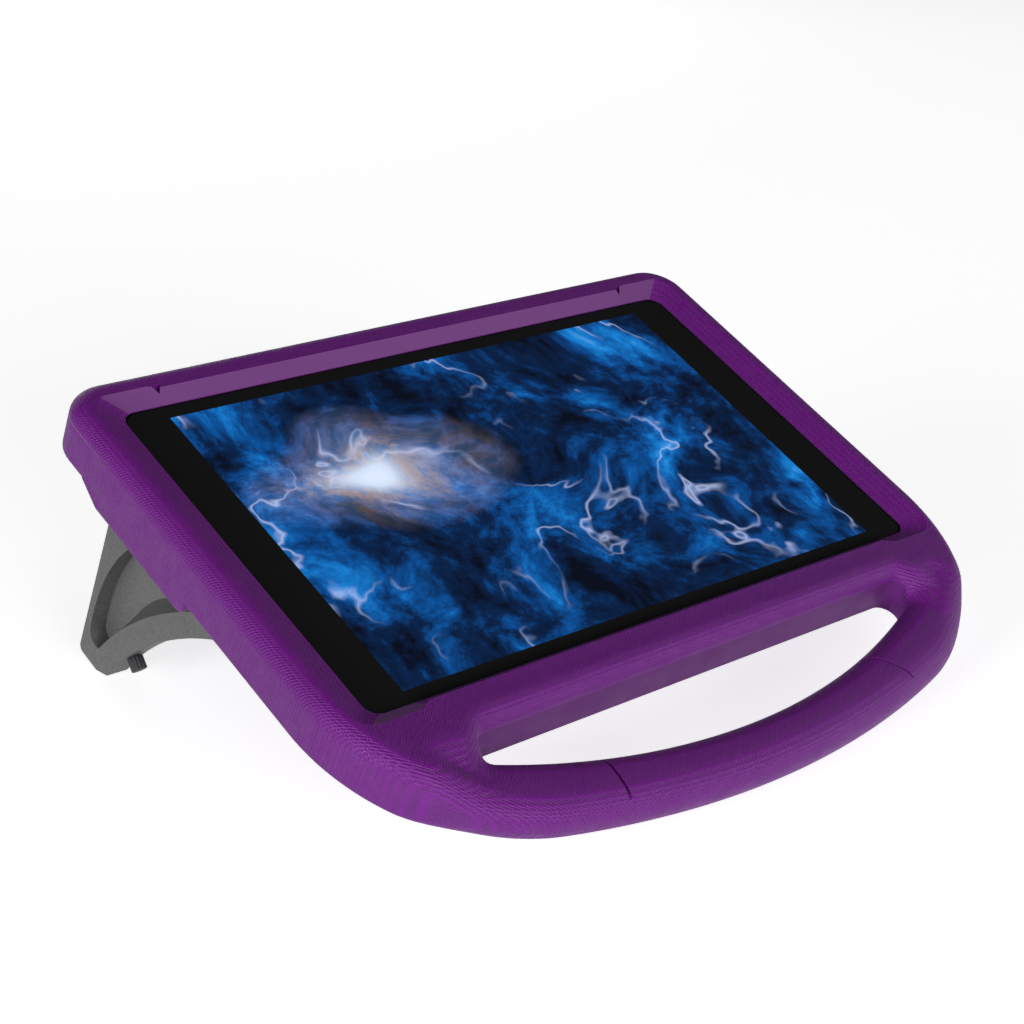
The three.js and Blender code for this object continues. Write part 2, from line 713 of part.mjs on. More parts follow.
// The main board: a plate with its chips, shields and connectors standing on it
function mainBoard() {
  const top = partFloor + boardThickness;
  const right = boardLeft + boardWidth;
  const chip = (x, y, width, depth, height) => block(
    x - width / 2,
    x + width / 2,
    y - depth / 2,
    y + depth / 2,
    top - boardThickness / 2,
    top + height,
  );
  const middle = (boardLeft + right) / 2;
  return join(
    solidOf(block(boardLeft, right, -boardDepth / 2, boardDepth / 2, partFloor, top)),
    chip(middle, boardDepth * 0.28, boardWidth * 0.62, boardWidth * 0.62, chipHeight),
    chip(middle, -boardDepth * 0.02, boardWidth * 0.7, boardWidth * 0.45, chipHeight * 0.8),
    chip(middle, -boardDepth * 0.3, boardWidth * 0.5, boardWidth * 0.7, chipHeight),
  );
}

function rearCamera() {
  const outside = -tabletThickness - cameraProud;
  return join(
    solidOf(rodAlongZ(cameraRadius, outside, partFloor + cameraFlange / 2, 28)),
    rodAlongZ(cameraRadius + 1, partFloor, partFloor + cameraFlange, 28),
  );
}

function speaker() {
  const solid = solidOf(plate(speakerWidth, speakerDepth, 1.5, partFloor, partFloor + speakerThickness));
  return cut(solid, plate(speakerWidth - 5, speakerDepth - 8, 3, partFloor + speakerThickness - 0.4, 1));
}

// The level of the table, measured in the tablet's tilted frame along the table's own upright
const standing = (y, z) => Math.sin(tilt) * y + Math.cos(tilt) * z;

function tableLevel(solid) {
  const corners = geometryOf(solid).attributes.position;
  let lowest = Infinity;
  for (let i = 0; i < corners.count; i += 1) {
    lowest = Math.min(lowest, standing(corners.getY(i), corners.getZ(i)));
  }
  return lowest;
}

// The height at which the table lies below a point y of the plan, in the leg's own frame
const tableUnder = (table, y) => (table - Math.sin(tilt) * y) / Math.cos(tilt) - hingeZ;

// The concave front edge of a leg, from its foot up to its front end under the shell
function archCurve(table) {
  const foot = new THREE.Vector2(footFront, tableUnder(table, footFront));
  const top = new THREE.Vector2(legFrontEdge, -hingeDrop);
  return new THREE.CubicBezierCurve(
    foot,
    new THREE.Vector2(foot.x - archFootLean, foot.y + archFootRise),
    new THREE.Vector2(top.x + archTopRun, top.y - archTopDrop),
    top,
  );
}

function legOutline(table) {
  const arch = archCurve(table);
  const bottom = tableUnder(table, footFront + footFlat);
  const shape = new THREE.Shape();
  shape.setFromPoints([...arch.getPoints(14)].reverse());
  shape.lineTo(footFront + footFlat, bottom);
  shape.lineTo(legRearEdge - footCorner, bottom);
  shape.absarc(legRearEdge - footCorner, bottom + footCorner, footCorner, -Math.PI / 2, 0, false);
  shape.lineTo(legRearEdge, -hingeDrop);
  return shape;
}

// The curved three-sided pocket in a leg's outer face, an even rim away from the arch
function legPocket(table) {
  const arch = archCurve(table);
  const top = -hingeDrop - pocketTopRim;
  const tipZ = tableUnder(table, footFront + footFlat) + pocketFootRim;
  const side = [];
  for (let i = 0; i <= 14; i += 1) {
    const t = i / 14;
    const along = arch.getTangent(t);
    const point = arch.getPoint(t).add(new THREE.Vector2(along.y, -along.x).multiplyScalar(pocketArchRim));
    if (point.y < top && point.y > tipZ) {
      side.push(point);
    }
  }
  const rear = legRearEdge - pocketRearRim;
  const shape = new THREE.Shape();
  shape.setFromPoints(side);
  shape.lineTo(side.at(-1).x - 3, top);
  shape.lineTo(rear - pocketTopFromRear, top);
  shape.bezierCurveTo(
    rear - pocketTip,
    top - pocketTip,
    rear + 1,
    tipZ + 4 * pocketTip,
    rear,
    tipZ + pocketTip,
  );
  shape.quadraticCurveTo(rear - 1, tipZ, rear - pocketTip + 1, tipZ);
  return runAlongX(shape, legThickness / 2 - pocketDepth, legThickness / 2 + 1, { curveSegments: 8 });
}

// Where the finger knob stands on the arch, and which way it points, in the leg's frame
function knobSeat(table) {
  const arch = archCurve(table);
  const point = arch.getPoint(knobAlongArch);
  const along = arch.getTangent(knobAlongArch);
  return { point, outward: new THREE.Vector3(0, -along.y, along.x) };
}

// One hinge knuckle's profile, in x and z about the pin: round, with a square web up or down,
// and a square heel that meets the bracket when the leg stands open
function knuckleProfile(webEnd, heel) {
  const shape = new THREE.Shape();
  const down = webEnd < 0;
  if (down) {
    shape.moveTo(-hingeRadius, webEnd);
    shape.lineTo(hingeRadius, webEnd);
    shape.lineTo(hingeRadius, heel);
    shape.lineTo(0, heel);
    shape.lineTo(0, hingeRadius);
    shape.absarc(0, 0, hingeRadius, Math.PI / 2, Math.PI, false);
  } else {
    shape.moveTo(hingeRadius, webEnd);
    shape.lineTo(-hingeRadius, webEnd);
    shape.lineTo(-hingeRadius, 0);
    shape.absarc(0, 0, hingeRadius, Math.PI, 2 * Math.PI, false);
  }
  return shape;
}

// The stretches of the hinge that belong to the bracket (even) and to the leg (odd)
function knuckleSpans(ofLeg) {
  const starts = [hingeStart, ...knuckleEnds.slice(0, -1)];
  return knuckleEnds
    .map((end, i) => [starts[i] + (i ? hingeGap : 0), end])
    .filter((_, i) => (i % 2 === 1) === ofLeg);
}

// A leg of the +x side in its own frame, whose y axis is the hinge pin's
function leg(table) {
  const heel = hingeDrop - fit;
  const knuckles = knuckleSpans(true).map(([y0, y1]) =>
    runAlongY(knuckleProfile(-hingeDrop - 2, heel), y0, y1, { curveSegments: barrelSteps / 8 }));
  const blade = runAlongX(legOutline(table), -legThickness / 2, legThickness / 2, { round: legEdgeRound });
  const { point, outward } = knobSeat(table);
  const stem = placedOn(point, outward, rodAlongY(knobStemRadius + fit, -1, knobStemLength + fit, 16));
  return cut(
    join(solidOf(blade), ...knuckles),
    legPocket(table),
    rodAlongY(pinRadius + fit, hingeStart - 1, hingeEnd + 1, 20),
    stem,
  );
}

// Turns a piece made along y so that +y points against outward, and sets it at a point of the y-z plane
function placedOn(point, outward, geometry) {
  const turn = new THREE.Quaternion().setFromUnitVectors(new THREE.Vector3(0, 1, 0), outward.clone().negate());
  return geometry.applyQuaternion(turn).translate(0, point.x, point.y);
}

// The ribbed knob near the foot, by which a finger pulls the leg out: head outside, stem in the leg
function fingerKnob(table) {
  const { point, outward } = knobSeat(table);
  const ribs = [];
  for (let i = 0; i < 2 * knobRibs; i += 1) {
    const angle = (i * Math.PI) / knobRibs;
    const radius = knobRadius - (i % 2) * knobRibDepth;
    ribs.push(new THREE.Vector2(radius * Math.cos(angle), radius * Math.sin(angle)));
  }
  const head = runAlongY(new THREE.Shape(ribs), -knobLength - fit, -fit);
  const stem = rodAlongY(knobStemRadius, -fit - 1, knobStemLength, 16);
  return solidOf(placedOn(point, outward, geometryOf(join(solidOf(head), stem))));
}

// A hinge bracket of the +x side in the leg's frame: a plate let into the foam, knuckles below it and
// screw bosses that reach up through the foam to the clamp plate
function hingeBracket() {
  const base = roundedRectangle(-bracketInboard, hingeStart, bracketOutboard, hingeEnd, bracketCorner);
  const bossTop = clampBase - fit - hingeZ;
  const top = bracketTop - hingeZ;
  const bosses = screwYs.map((y) =>
    rodAlongZ(screwBossRadius, top - 1, bossTop, 24).translate(-screwInboard, y, 0));
  const bores = screwYs.map((y) =>
    rodAlongZ(screwRadius + fit, hingeDrop + screwBlind, bossTop + 1, 16).translate(-screwInboard, y, 0));
  const knuckles = knuckleSpans(false).map(([y0, y1]) =>
    runAlongY(knuckleProfile(hingeDrop + 1, 0), y0, y1, { curveSegments: barrelSteps / 8 }));
  return cut(
    join(solidOf(prism(base, hingeDrop, top)), ...bosses, ...knuckles),
    rodAlongY(pinRadius + fit, hingeStart - 1, hingeEnd + 1, 20),
    ...bores,
  );
}

function hingePin() {
  return join(
    solidOf(rodAlongY(pinRadius, hingeStart, hingeEnd + fit + pinHeadLength / 2, 20)),
    rodAlongY(pinHeadRadius, hingeEnd + fit, hingeEnd + fit + pinHeadLength, 20),
  );
}

function clampPlate() {
  const shape = roundedRectangle(screwX - clampWidth / 2, hingeStart, screwX + clampWidth / 2, hingeEnd, bracketCorner);
  const top = clampBase + clampThickness;
  const holes = screwYs.flatMap((y) => [
    rodAlongZ(screwRadius + fit, clampBase - 1, top, 16).translate(screwX, y, 0),
    rodAlongZ(screwHeadRadius + fit, top - screwHeadHeight - fit / 3, top + 1, 24).translate(screwX, y, 0),
  ]);
  return cut(solidOf(prism(shape, clampBase, top)), ...holes);
}

function clampScrew() {
  const top = clampBase + clampThickness;
  const end = shellBack + screwBlind + fit;
  return join(
    solidOf(rodAlongZ(screwHeadRadius, top - screwHeadHeight, top, 24)),
    rodAlongZ(screwRadius, end, top - screwHeadHeight / 2, 16),
  );
}

// The moulding is given as two solids, parted across the handle's ends, so that each is simple enough
// for its collision shape to stay open at the slot and the windows
const moulding = caseShell();
const handleZone = (y) => solidOf(block(-2 * shellHalf, 2 * shellHalf, -2 * handleReach, y, -2 * shellHalf, shellHalf));
const shellSolid = moulding.subtract(handleZone(handleFrom));
const handleSolid = moulding.intersect(handleZone(handleFrom - fit));
const table = tableLevel(moulding);
const frame = new THREE.Group();
frame.rotation.x = tilt;

function place(name, solid, material, x = 0, y = 0, z = 0) {
  const mesh = meshOf(name, solid, material);
  mesh.position.set(x, y, z);
  frame.add(mesh);
}

place('case_shell', shellSolid, foam);
place('carry_handle', handleSolid, foam);
place('tablet_housing', tabletHousing(), housingMetal);
place('tablet_glass', solidOf(plate(
  tabletWidth - 2 * (glassBorder + fit),
  tabletDepth - 2 * (glassBorder + fit),
  tabletCornerRadius - glassBorder / 2,
  -glassThickness,
  0,
)), coverGlass);
place('display_panel', solidOf(plate(
  2 * panelHalfX,
  2 * panelHalfY,
  2,
  panelTop - panelThickness,
  panelTop,
)), panelMaterial);
place('battery', solidOf(plate(
  2 * batteryHalfX,
  batteryDepth,
  3,
  partFloor,
  partFloor + batteryThickness,
)), cellWrap);
place('mainboard', mainBoard(), boardGreen);
place('rear_camera', rearCamera(), blackPlastic, 0, cameraOffset, 0);
place('usb_port', usbPort(), steel);
place('audio_jack', audioJack(), blackPlastic, 0, jackOffset, portLevel);
place('power_key', key(powerKeyLength), housingMetal, powerKeyAt, 0, keyLevel);
place('volume_key', key(volumeKeyLength), housingMetal, volumeKeyAt, 0, keyLevel);

const speakerX = insideHalfX - speakerInset - speakerWidth / 2;
place('speaker_upper', speaker(), blackPlastic, speakerX, speakerOffset, 0);
place('speaker_lower', speaker(), blackPlastic, speakerX, -speakerOffset, 0);

for (const [side, turned] of [['right', (solid) => solid], ['left', mirroredX]]) {
  const x = side === 'right' ? hingeX : -hingeX;
  place(`leg_${side}`, turned(leg(table)), standPlastic, x, 0, hingeZ);
  place(`finger_knob_${side}`, turned(fingerKnob(table)), knobRubber, x, 0, hingeZ);
  place(`hinge_bracket_${side}`, turned(hingeBracket()), standPlastic, x, 0, hingeZ);
  place(`hinge_pin_${side}`, hingePin(), steel, x, 0, hingeZ);
  place(`clamp_plate_${side}`, turned(clampPlate()), standPlastic);
  screwYs.forEach((y, i) => {
    const screw = clampScrew();
    place(`clamp_screw_${side}_${i + 1}`, screw, steel, side === 'right' ? screwX : -screwX, y, 0);
  });
}

// The whole stands with its lowest points on the plane z = 0, centred over the origin
const group = new THREE.Group();
group.add(frame);
group.updateMatrixWorld(true);
const bounds = new THREE.Box3().setFromObject(group, true);
frame.position.set(
  -(bounds.min.x + bounds.max.x) / 2,
  -(bounds.min.y + bounds.max.y) / 2,
  -bounds.min.z,
);

export default group;
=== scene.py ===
"""Visual model of a child's foam tablet case with a carrying handle and two folding legs.

Pieces are shaped in the tablet's own plane, in millimetres: x across the screen, y up it and z out of
the glass, from the middle of the glass. A last transform tilts them as the case stands, in metres.
"""

import logging
import math
from dataclasses import dataclass, field
from enum import Enum
from typing import Callable, Iterable, Sequence

import bmesh
import bpy
from bmesh.types import BMEdge, BMesh, BMFace, BMVert
from bpy.types import Material, Node, NodeSocket, Object
from mathutils import Matrix, Vector
from mathutils.geometry import interpolate_bezier


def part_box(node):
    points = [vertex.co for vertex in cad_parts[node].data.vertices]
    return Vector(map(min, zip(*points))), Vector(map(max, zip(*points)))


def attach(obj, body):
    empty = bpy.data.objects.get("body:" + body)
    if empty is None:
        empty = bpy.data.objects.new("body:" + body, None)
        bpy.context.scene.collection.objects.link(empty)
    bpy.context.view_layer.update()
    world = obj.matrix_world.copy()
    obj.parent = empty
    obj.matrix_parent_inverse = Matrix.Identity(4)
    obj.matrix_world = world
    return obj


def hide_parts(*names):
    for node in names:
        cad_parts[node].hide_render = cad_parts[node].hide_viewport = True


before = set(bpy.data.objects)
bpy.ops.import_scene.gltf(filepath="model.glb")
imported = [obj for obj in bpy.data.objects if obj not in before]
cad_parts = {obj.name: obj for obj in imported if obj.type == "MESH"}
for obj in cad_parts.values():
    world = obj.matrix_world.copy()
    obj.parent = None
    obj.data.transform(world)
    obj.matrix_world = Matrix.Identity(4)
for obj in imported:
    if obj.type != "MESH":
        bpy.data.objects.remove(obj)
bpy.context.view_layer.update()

LOG = logging.getLogger("tablet_case")
TILT = math.radians(25.735)
MM_PER_METRE = 1000
GLASS_THICKNESS = 0.8
HINGE_X = 113.65
UPRIGHT_NORMAL = 0.5
LEVEL_NORMAL = 0.99
SAME_LEVEL = 1e-4
SAME_PLACE = 0.01
RIM_ANGLE = 1.0
PLACE_DIGITS = 3
REFINE_ROUNDS = 12
SECTION_STEPS = 12
CORNER_STEPS = 8
X, Y, Z = Vector((1, 0, 0)), Vector((0, 1, 0)), Vector((0, 0, 1))
SIDEWAYS = Matrix(((0, 0, 1, 0), (1, 0, 0, 0), (0, 1, 0, 0), (0, 0, 0, 1)))
QUARTER = math.pi / 2

Ring = list[BMVert]
Points = list[Vector]
Pair = tuple[float, float]
Triple = tuple[float, float, float]
Rounds = Callable[[float], Triple]


def plane_to_world() -> Matrix:
    """Finds the transform from the tablet's plane, in millimetres, to the world, in metres.

    Returns:
        The transform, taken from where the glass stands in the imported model.
    """
    low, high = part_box("tablet_glass")
    turn = Matrix.Rotation(TILT, 4, "X")
    below = turn @ Vector((0, 0, -GLASS_THICKNESS / 2)) / MM_PER_METRE
    return Matrix.Translation((low + high) / 2 - below) @ turn @ Matrix.Scale(1 / MM_PER_METRE, 4)


TO_WORLD = plane_to_world()


class Side(Enum):
    """Which side of the case a leg stands on, with the sign of its x."""

    RIGHT = 1
    LEFT = -1


class Surface(Enum):
    """Which of a piece's finishes a face takes."""

    GRAINED = 0
    SMOOTH = 1
    # Glossier smooth foam with its tone painted lighter, as painted light on slopes that face the lamps.
    POLISHED = 2


class Carving(Enum):
    """What is done with the solids that shape a body."""

    JOIN = "UNION"
    CUT = "DIFFERENCE"


def smooth_step(low: float, high: float, value: float) -> float:
    """Returns 0 below low, 1 above high and a smooth blend between them."""
    t = min(max((value - low) / (high - low), 0.0), 1.0)
    return t * t * (3 - 2 * t)


def blend(start: float, end: float, share: float) -> float:
    """Returns the value a share of the way from start to end."""
    return start + (end - start) * share


def touching_arc(x: float, y: float, end: float, lowest: float) -> float:
    """Finds the arc centred on x = 0 that meets a smaller one without a kink.

    Args:
        x: the smaller arc's centre.
        y: its height in the plan.
        end: its radius.
        lowest: the height that the large arc reaches at x = 0.

    Returns:
        The large arc's radius.
    """
    return (x**2 + (y - lowest) ** 2 - end**2) / (2 * (y - lowest - end))


def arc(centre: Sequence[float], radius: float, start: float, end: float, steps: int) -> Points:
    """Lists points of a circular arc in the plan, both ends included.

    Args:
        centre: x and y of the arc's centre.
        radius: the arc's radius.
        start: the angle of its first point, in radians.
        end: the angle of its last point.
        steps: how many chords stand for it.

    Returns:
        The points, one more than there are chords.
    """
    angles = [start + (end - start) * i / steps for i in range(steps + 1)]
    return [Vector((centre[0] + radius * math.cos(a), centre[1] + radius * math.sin(a), 0)) for a in angles]


def run(start: Vector, end: Vector, steps: int) -> Points:
    """Lists the points inside a straight stretch, neither end included."""
    return [start.lerp(end, i / steps) for i in range(1, steps)]


def closed_runs(corners: Iterable[tuple[Vector, int]]) -> Points:
    """Lists a closed outline from its corners.

    Args:
        corners: each corner, with the number of chords from it to the next one.

    Returns:
        The outline's points in order.
    """
    marks = list(corners)
    points: Points = []
    for (here, steps), (there, _) in zip(marks, marks[1:] + marks[:1]):
        points += [here, *run(here, there, steps)]
    return points


def ring_edges(bm: BMesh, ring: Ring) -> list[BMEdge]:
    """Returns the edges of a closed ring of vertices."""
    return [bm.edges.get(pair) for pair in zip(ring, ring[1:] + ring[:1])]


def lay_ring(bm: BMesh, points: Points, filled: bool = False) -> Ring:
    """Lays a closed ring of vertices along an outline.

    Args:
        bm: the mesh.
        points: the outline.
        filled: whether one flat face spans it.

    Returns:
        The ring, in the outline's order.
    """
    ring = bmesh.ops.create_circle(bm, cap_ends=filled, segments=len(points), radius=1.0)["verts"]
    for vert, point in zip(ring, points):
        vert.co = point
    return ring


def draw_ring(bm: BMesh, ring: Ring, points: Points, surface: Surface = Surface.GRAINED) -> Ring:
    """Extrudes a ring's edges to a further ring of as many points.

    Args:
        bm: the mesh.
        ring: the ring to start from.
        points: where each of its vertices goes.
        surface: the finish of the wall between the two.

    Returns:
        The new ring, in the same order.
    """
    made = bmesh.ops.extrude_edge_only(bm, edges=ring_edges(bm, ring))["geom"]
    fresh = {item for item in made if isinstance(item, BMVert)}
    for face in (item for item in made if isinstance(item, BMFace)):
        face.material_index = surface.value
    after = []
    for vert, point in zip(ring, points):
        twin = next(edge.other_vert(vert) for edge in vert.link_edges if edge.other_vert(vert) in fresh)
        twin.co = point
        after.append(twin)
    return after


def fill_rings(bm: BMesh, rings: Sequence[Ring]) -> None:
    """Fills the level region between an outer ring and the rings inside it with triangles."""
    edges = [edge for ring in rings for edge in ring_edges(bm, ring)]
    bmesh.ops.triangle_fill(bm, edges=edges, use_beauty=True, normal=Z)


def find_ring(bm: BMesh, points: Points) -> Ring:
    """Finds the vertices that stand at an outline's points, whatever their height."""
    at = {(round(vert.co.x, PLACE_DIGITS), round(vert.co.y, PLACE_DIGITS)): vert for vert in bm.verts}
    return [at[(round(point.x, PLACE_DIGITS), round(point.y, PLACE_DIGITS))] for point in points]


def refine(bm: BMesh, outlines: Sequence[Points], reach: float) -> list[Ring]:
    """Cuts a filled region into small even triangles, and leaves the outlines round it as they are.

    Args:
        bm: the mesh, with nothing but the region in it.
        outlines: the outlines that bound the region.
        reach: the longest edge that may stay.

    Returns:
        The outlines' vertices in the finished mesh.
    """
    for _ in range(REFINE_ROUNDS):
        rim = {edge for points in outlines for edge in ring_edges(bm, find_ring(bm, points))}
        long = [edge for edge in bm.edges if edge not in rim and edge.calc_length() > reach]
        if not long:
            break
        bmesh.ops.subdivide_edges(bm, edges=long, cuts=1)
        bmesh.ops.triangulate(bm, faces=[face for face in bm.faces if len(face.verts) > 3])
        rim = {edge for points in outlines for edge in ring_edges(bm, find_ring(bm, points))}
        inner = [edge for edge in bm.edges if edge not in rim]
        bmesh.ops.beautify_fill(bm, faces=list(bm.faces), edges=inner, method="AREA")
    return [find_ring(bm, points) for points in outlines]


def rounded_plate(width: float, depth: float, corner: float, low: float, high: float) -> BMesh:
    """Makes a level plate with round corners.

    Args:
        width: its size in x.
        depth: its size in y.
        corner: the radius of its four corners.
        low: the level of its underside.
        high: the level of its top.

    Returns:
        The plate, centred on the z axis.
    """
    bm = bmesh.new()
    bmesh.ops.create_grid(bm, x_segments=1, y_segments=1, size=0.5)
    bmesh.ops.scale(bm, vec=(width, depth, 1), verts=bm.verts)
    verts = list(bm.verts)
    bmesh.ops.bevel(bm, geom=verts, offset=corner, segments=CORNER_STEPS, profile=0.5, affect="VERTICES", material=-1)
    thicken(bm, Z * (high - low))
    bmesh.ops.translate(bm, vec=(0, 0, low), verts=bm.verts)
    return bm


def thicken(bm: BMesh, along: Vector, edge: float = 0.0, segments: int = 3) -> None:
    """Turns the flat faces of a mesh into a solid, and may round its two rims.

    Args:
        bm: the mesh, with nothing but the flat faces in it.
        along: which way, and how far, the solid reaches from them.
        edge: the radius of the rims, or 0 for sharp ones.
        segments: how many steps the rounding has.
    """
    made = bmesh.ops.extrude_face_region(bm, geom=list(bm.faces), use_keep_orig=True)["geom"]
    bmesh.ops.translate(bm, vec=along, verts=[item for item in made if isinstance(item, BMVert)])
    bmesh.ops.recalc_face_normals(bm, faces=bm.faces)
    if not edge:
        return
    across = along.normalized()
    rims = []
    for rim in bm.edges:
        rise = abs((rim.verts[0].co - rim.verts[1].co).dot(across))
        if rise < SAME_LEVEL and rim.calc_face_angle(0) > RIM_ANGLE:
            rims.append(rim)
    bmesh.ops.bevel(bm, geom=rims, offset=edge, segments=segments, profile=0.5, affect="EDGES", material=-1)


def outline_face(points: Points) -> BMesh:
    """Makes one flat face inside a closed outline, which may be hollow anywhere."""
    bm = bmesh.new()
    lay_ring(bm, points, filled=True)
    return bm


def rod(radius: float, start: Vector, end: Vector, segments: int = 48) -> BMesh:
    """Makes a closed round rod.

    Args:
        radius: its radius.
        start: the middle of one end.
        end: the middle of the other.
        segments: how many sides stand for its round.

    Returns:
        The rod.
    """
    bm = bmesh.new()
    along = end - start
    bmesh.ops.create_cone(bm, cap_ends=True, segments=segments, radius1=radius, radius2=radius, depth=along.length)
    turn = Z.rotation_difference(along).to_matrix().to_4x4()
    bmesh.ops.transform(bm, matrix=Matrix.Translation((start + end) / 2) @ turn, verts=bm.verts)
    return bm


def mirrored(bm: BMesh) -> BMesh:
    """Turns a mesh into its mirror image across x = 0, with its faces outwards, and returns it."""
    bmesh.ops.scale(bm, vec=(-1, 1, 1), verts=bm.verts)
    bmesh.ops.reverse_faces(bm, faces=bm.faces)
    return bm


def object_of(name: str, bm: BMesh, finishes: Sequence[Material]) -> Object:
    """Makes an object of a mesh and links it to the scene.

    Args:
        name: the object's name.
        bm: the mesh, which is used up.
        finishes: its materials, in the order of Surface.

    Returns:
        The object.
    """
    mesh = bpy.data.meshes.new(name)
    bm.to_mesh(mesh)
    bm.free()
    for finish in finishes:
        mesh.materials.append(finish)
    made = bpy.data.objects.new(name, mesh)
    bpy.context.scene.collection.objects.link(made)
    return made


def carve(body: Object, tools: Sequence[BMesh], how: Carving) -> None:
    """Joins solids to a body or cuts them out of it, and keeps the result in the body's mesh.

    Args:
        body: the object to work on.
        tools: the solids, in the body's own space.
        how: whether they are joined or cut out.
    """
    for tool in tools:
        cutter = object_of("tool", tool, list(body.data.materials))
        step = body.modifiers.new("carve", "BOOLEAN")
        step.operation = how.value
        step.solver = "EXACT"
        step.object = cutter
        bpy.context.view_layer.update()
        shaped = bpy.data.meshes.new_from_object(body.evaluated_get(bpy.context.evaluated_depsgraph_get()))
        body.modifiers.remove(step)
        old = body.data
        shaped.name = old.name
        body.data = shaped
        bpy.data.meshes.remove(old)
        bpy.data.objects.remove(cutter)


def set_in_world(piece: Object, sharp: float) -> Object:
    """Moves a finished mesh from the tablet's plane into the world and smooths its shading.

    Args:
        piece: the object, at the origin.
        sharp: the angle in degrees from which an edge stays sharp.

    Returns:
        The same object.
    """
    piece.data.transform(TO_WORLD)
    kept = [edge.index for edge in piece.data.edges if edge.use_edge_sharp]
    piece.data.shade_smooth()
    piece.data.set_sharp_from_angle(angle=math.radians(sharp))
    for index in kept:
        piece.data.edges[index].use_edge_sharp = True
    return piece


class NodeKit:
    """Adds and joins the nodes of one material."""

    def __init__(self, name: str) -> None:
        """Starts a material with its principled shader.

        Args:
            name: the material's name.
        """
        self.material = bpy.data.materials.new(name)
        self.material.use_nodes = True
        self.tree = self.material.node_tree
        self.shader = self.tree.nodes["Principled BSDF"]

    def add(self, kind: str, inputs: dict[str, object] | None = None, **settings: object) -> Node:
        """Adds a node.

        Args:
            kind: the node's type name, without "ShaderNode".
            inputs: values or output sockets for its inputs, by name or number.
            **settings: its own properties.

        Returns:
            The node.
        """
        node = self.tree.nodes.new("ShaderNode" + kind)
        for key, value in settings.items():
            setattr(node, key, value)
        for key, value in (inputs or {}).items():
            self.feed(node.inputs[key], value)
        return node

    def feed(self, socket: NodeSocket, value: object) -> None:
        """Gives an input its value.

        Args:
            socket: the input.
            value: an output socket to link to it, or the value itself.
        """
        if isinstance(value, NodeSocket):
            self.tree.links.new(value, socket)
        else:
            socket.default_value = value

    def shade(self, **inputs: object) -> None:
        """Feeds the principled shader; an underscore in a name stands for a space."""
        for key, value in inputs.items():
            self.feed(self.shader.inputs[key.replace("_", " ")], value)

    def math(self, operation: str, *values: object, clamp: bool = False) -> NodeSocket:
        """Adds a math node.

        Args:
            operation: what it does.
            *values: up to three values or output sockets.
            clamp: whether the result is held between 0 and 1.

        Returns:
            Its result.
        """
        node = self.add("Math", operation=operation, use_clamp=clamp)
        for socket, value in zip(node.inputs, values):
            self.feed(socket, value)
        return node.outputs[0]

    def vector(self, operation: str, *values: object, **inputs: object) -> NodeSocket:
        """Adds a vector math node.

        Args:
            operation: what it does.
            *values: its first inputs, as vectors or output sockets.
            **inputs: any other inputs by name.

        Returns:
            Its result, a vector.
        """
        return self.add("VectorMath", {**dict(enumerate(values)), **inputs}, operation=operation).outputs[0]

    def mix(self, share: object, first: object, second: object) -> NodeSocket:
        """Mixes two colours.

        Args:
            share: how much of the second one there is, from 0 to 1.
            first: a colour.
            second: another one.

        Returns:
            The mixed colour.
        """
        node = self.add("Mix", data_type="RGBA")
        for index, value in ((0, share), (6, first), (7, second)):
            self.feed(node.inputs[index], value)
        return node.outputs[2]

    def ramp(self, value: object, stops: Sequence[tuple[float, object]]) -> NodeSocket:
        """Maps a value through a colour ramp.

        Args:
            value: the value.
            stops: each stop's place, and its grey level or colour.

        Returns:
            The colour.
        """
        node = self.add("ValToRGB", {"Fac": value})
        band = node.color_ramp
        while len(band.elements) < len(stops):
            band.elements.new(0.5)
        for element, (place, colour) in zip(band.elements, stops):
            element.position = place
            element.color = (*colour, 1.0) if isinstance(colour, tuple) else (colour, colour, colour, 1.0)
        return node.outputs["Color"]

    def plane_coordinates(self) -> NodeSocket:
        """Turns the object coordinates into the tablet's plane.

        Returns:
            The coordinates, in metres.
        """
        where = self.add("TexCoord").outputs["Object"]
        turn = Matrix.Rotation(-TILT, 4, "X")
        shift = -(turn @ TO_WORLD.translation)
        return self.add("Mapping", {"Vector": where, "Location": shift, "Rotation": (-TILT, 0, 0)}).outputs[0]

    def noise(self, where: object, scale: float, detail: float = 3.0, rough: float = 0.55) -> NodeSocket:
        """Adds a noise texture and returns its value."""
        inputs = {"Vector": where, "Scale": scale, "Detail": detail, "Roughness": rough}
        return self.add("TexNoise", inputs).outputs[0]

    def bump(self, height: object, distance: float, strength: float, below: object = None) -> NodeSocket:
        """Adds a bump.

        Args:
            height: the relief, from 0 to 1.
            distance: how deep it is, in metres.
            strength: how much of it shows.
            below: the normal of a bump under it.

        Returns:
            The normal.
        """
        node = self.add("Bump", {"Strength": strength, "Distance": distance, "Height": height})
        if below is not None:
            self.feed(node.inputs["Normal"], below)
        return node.outputs[0]


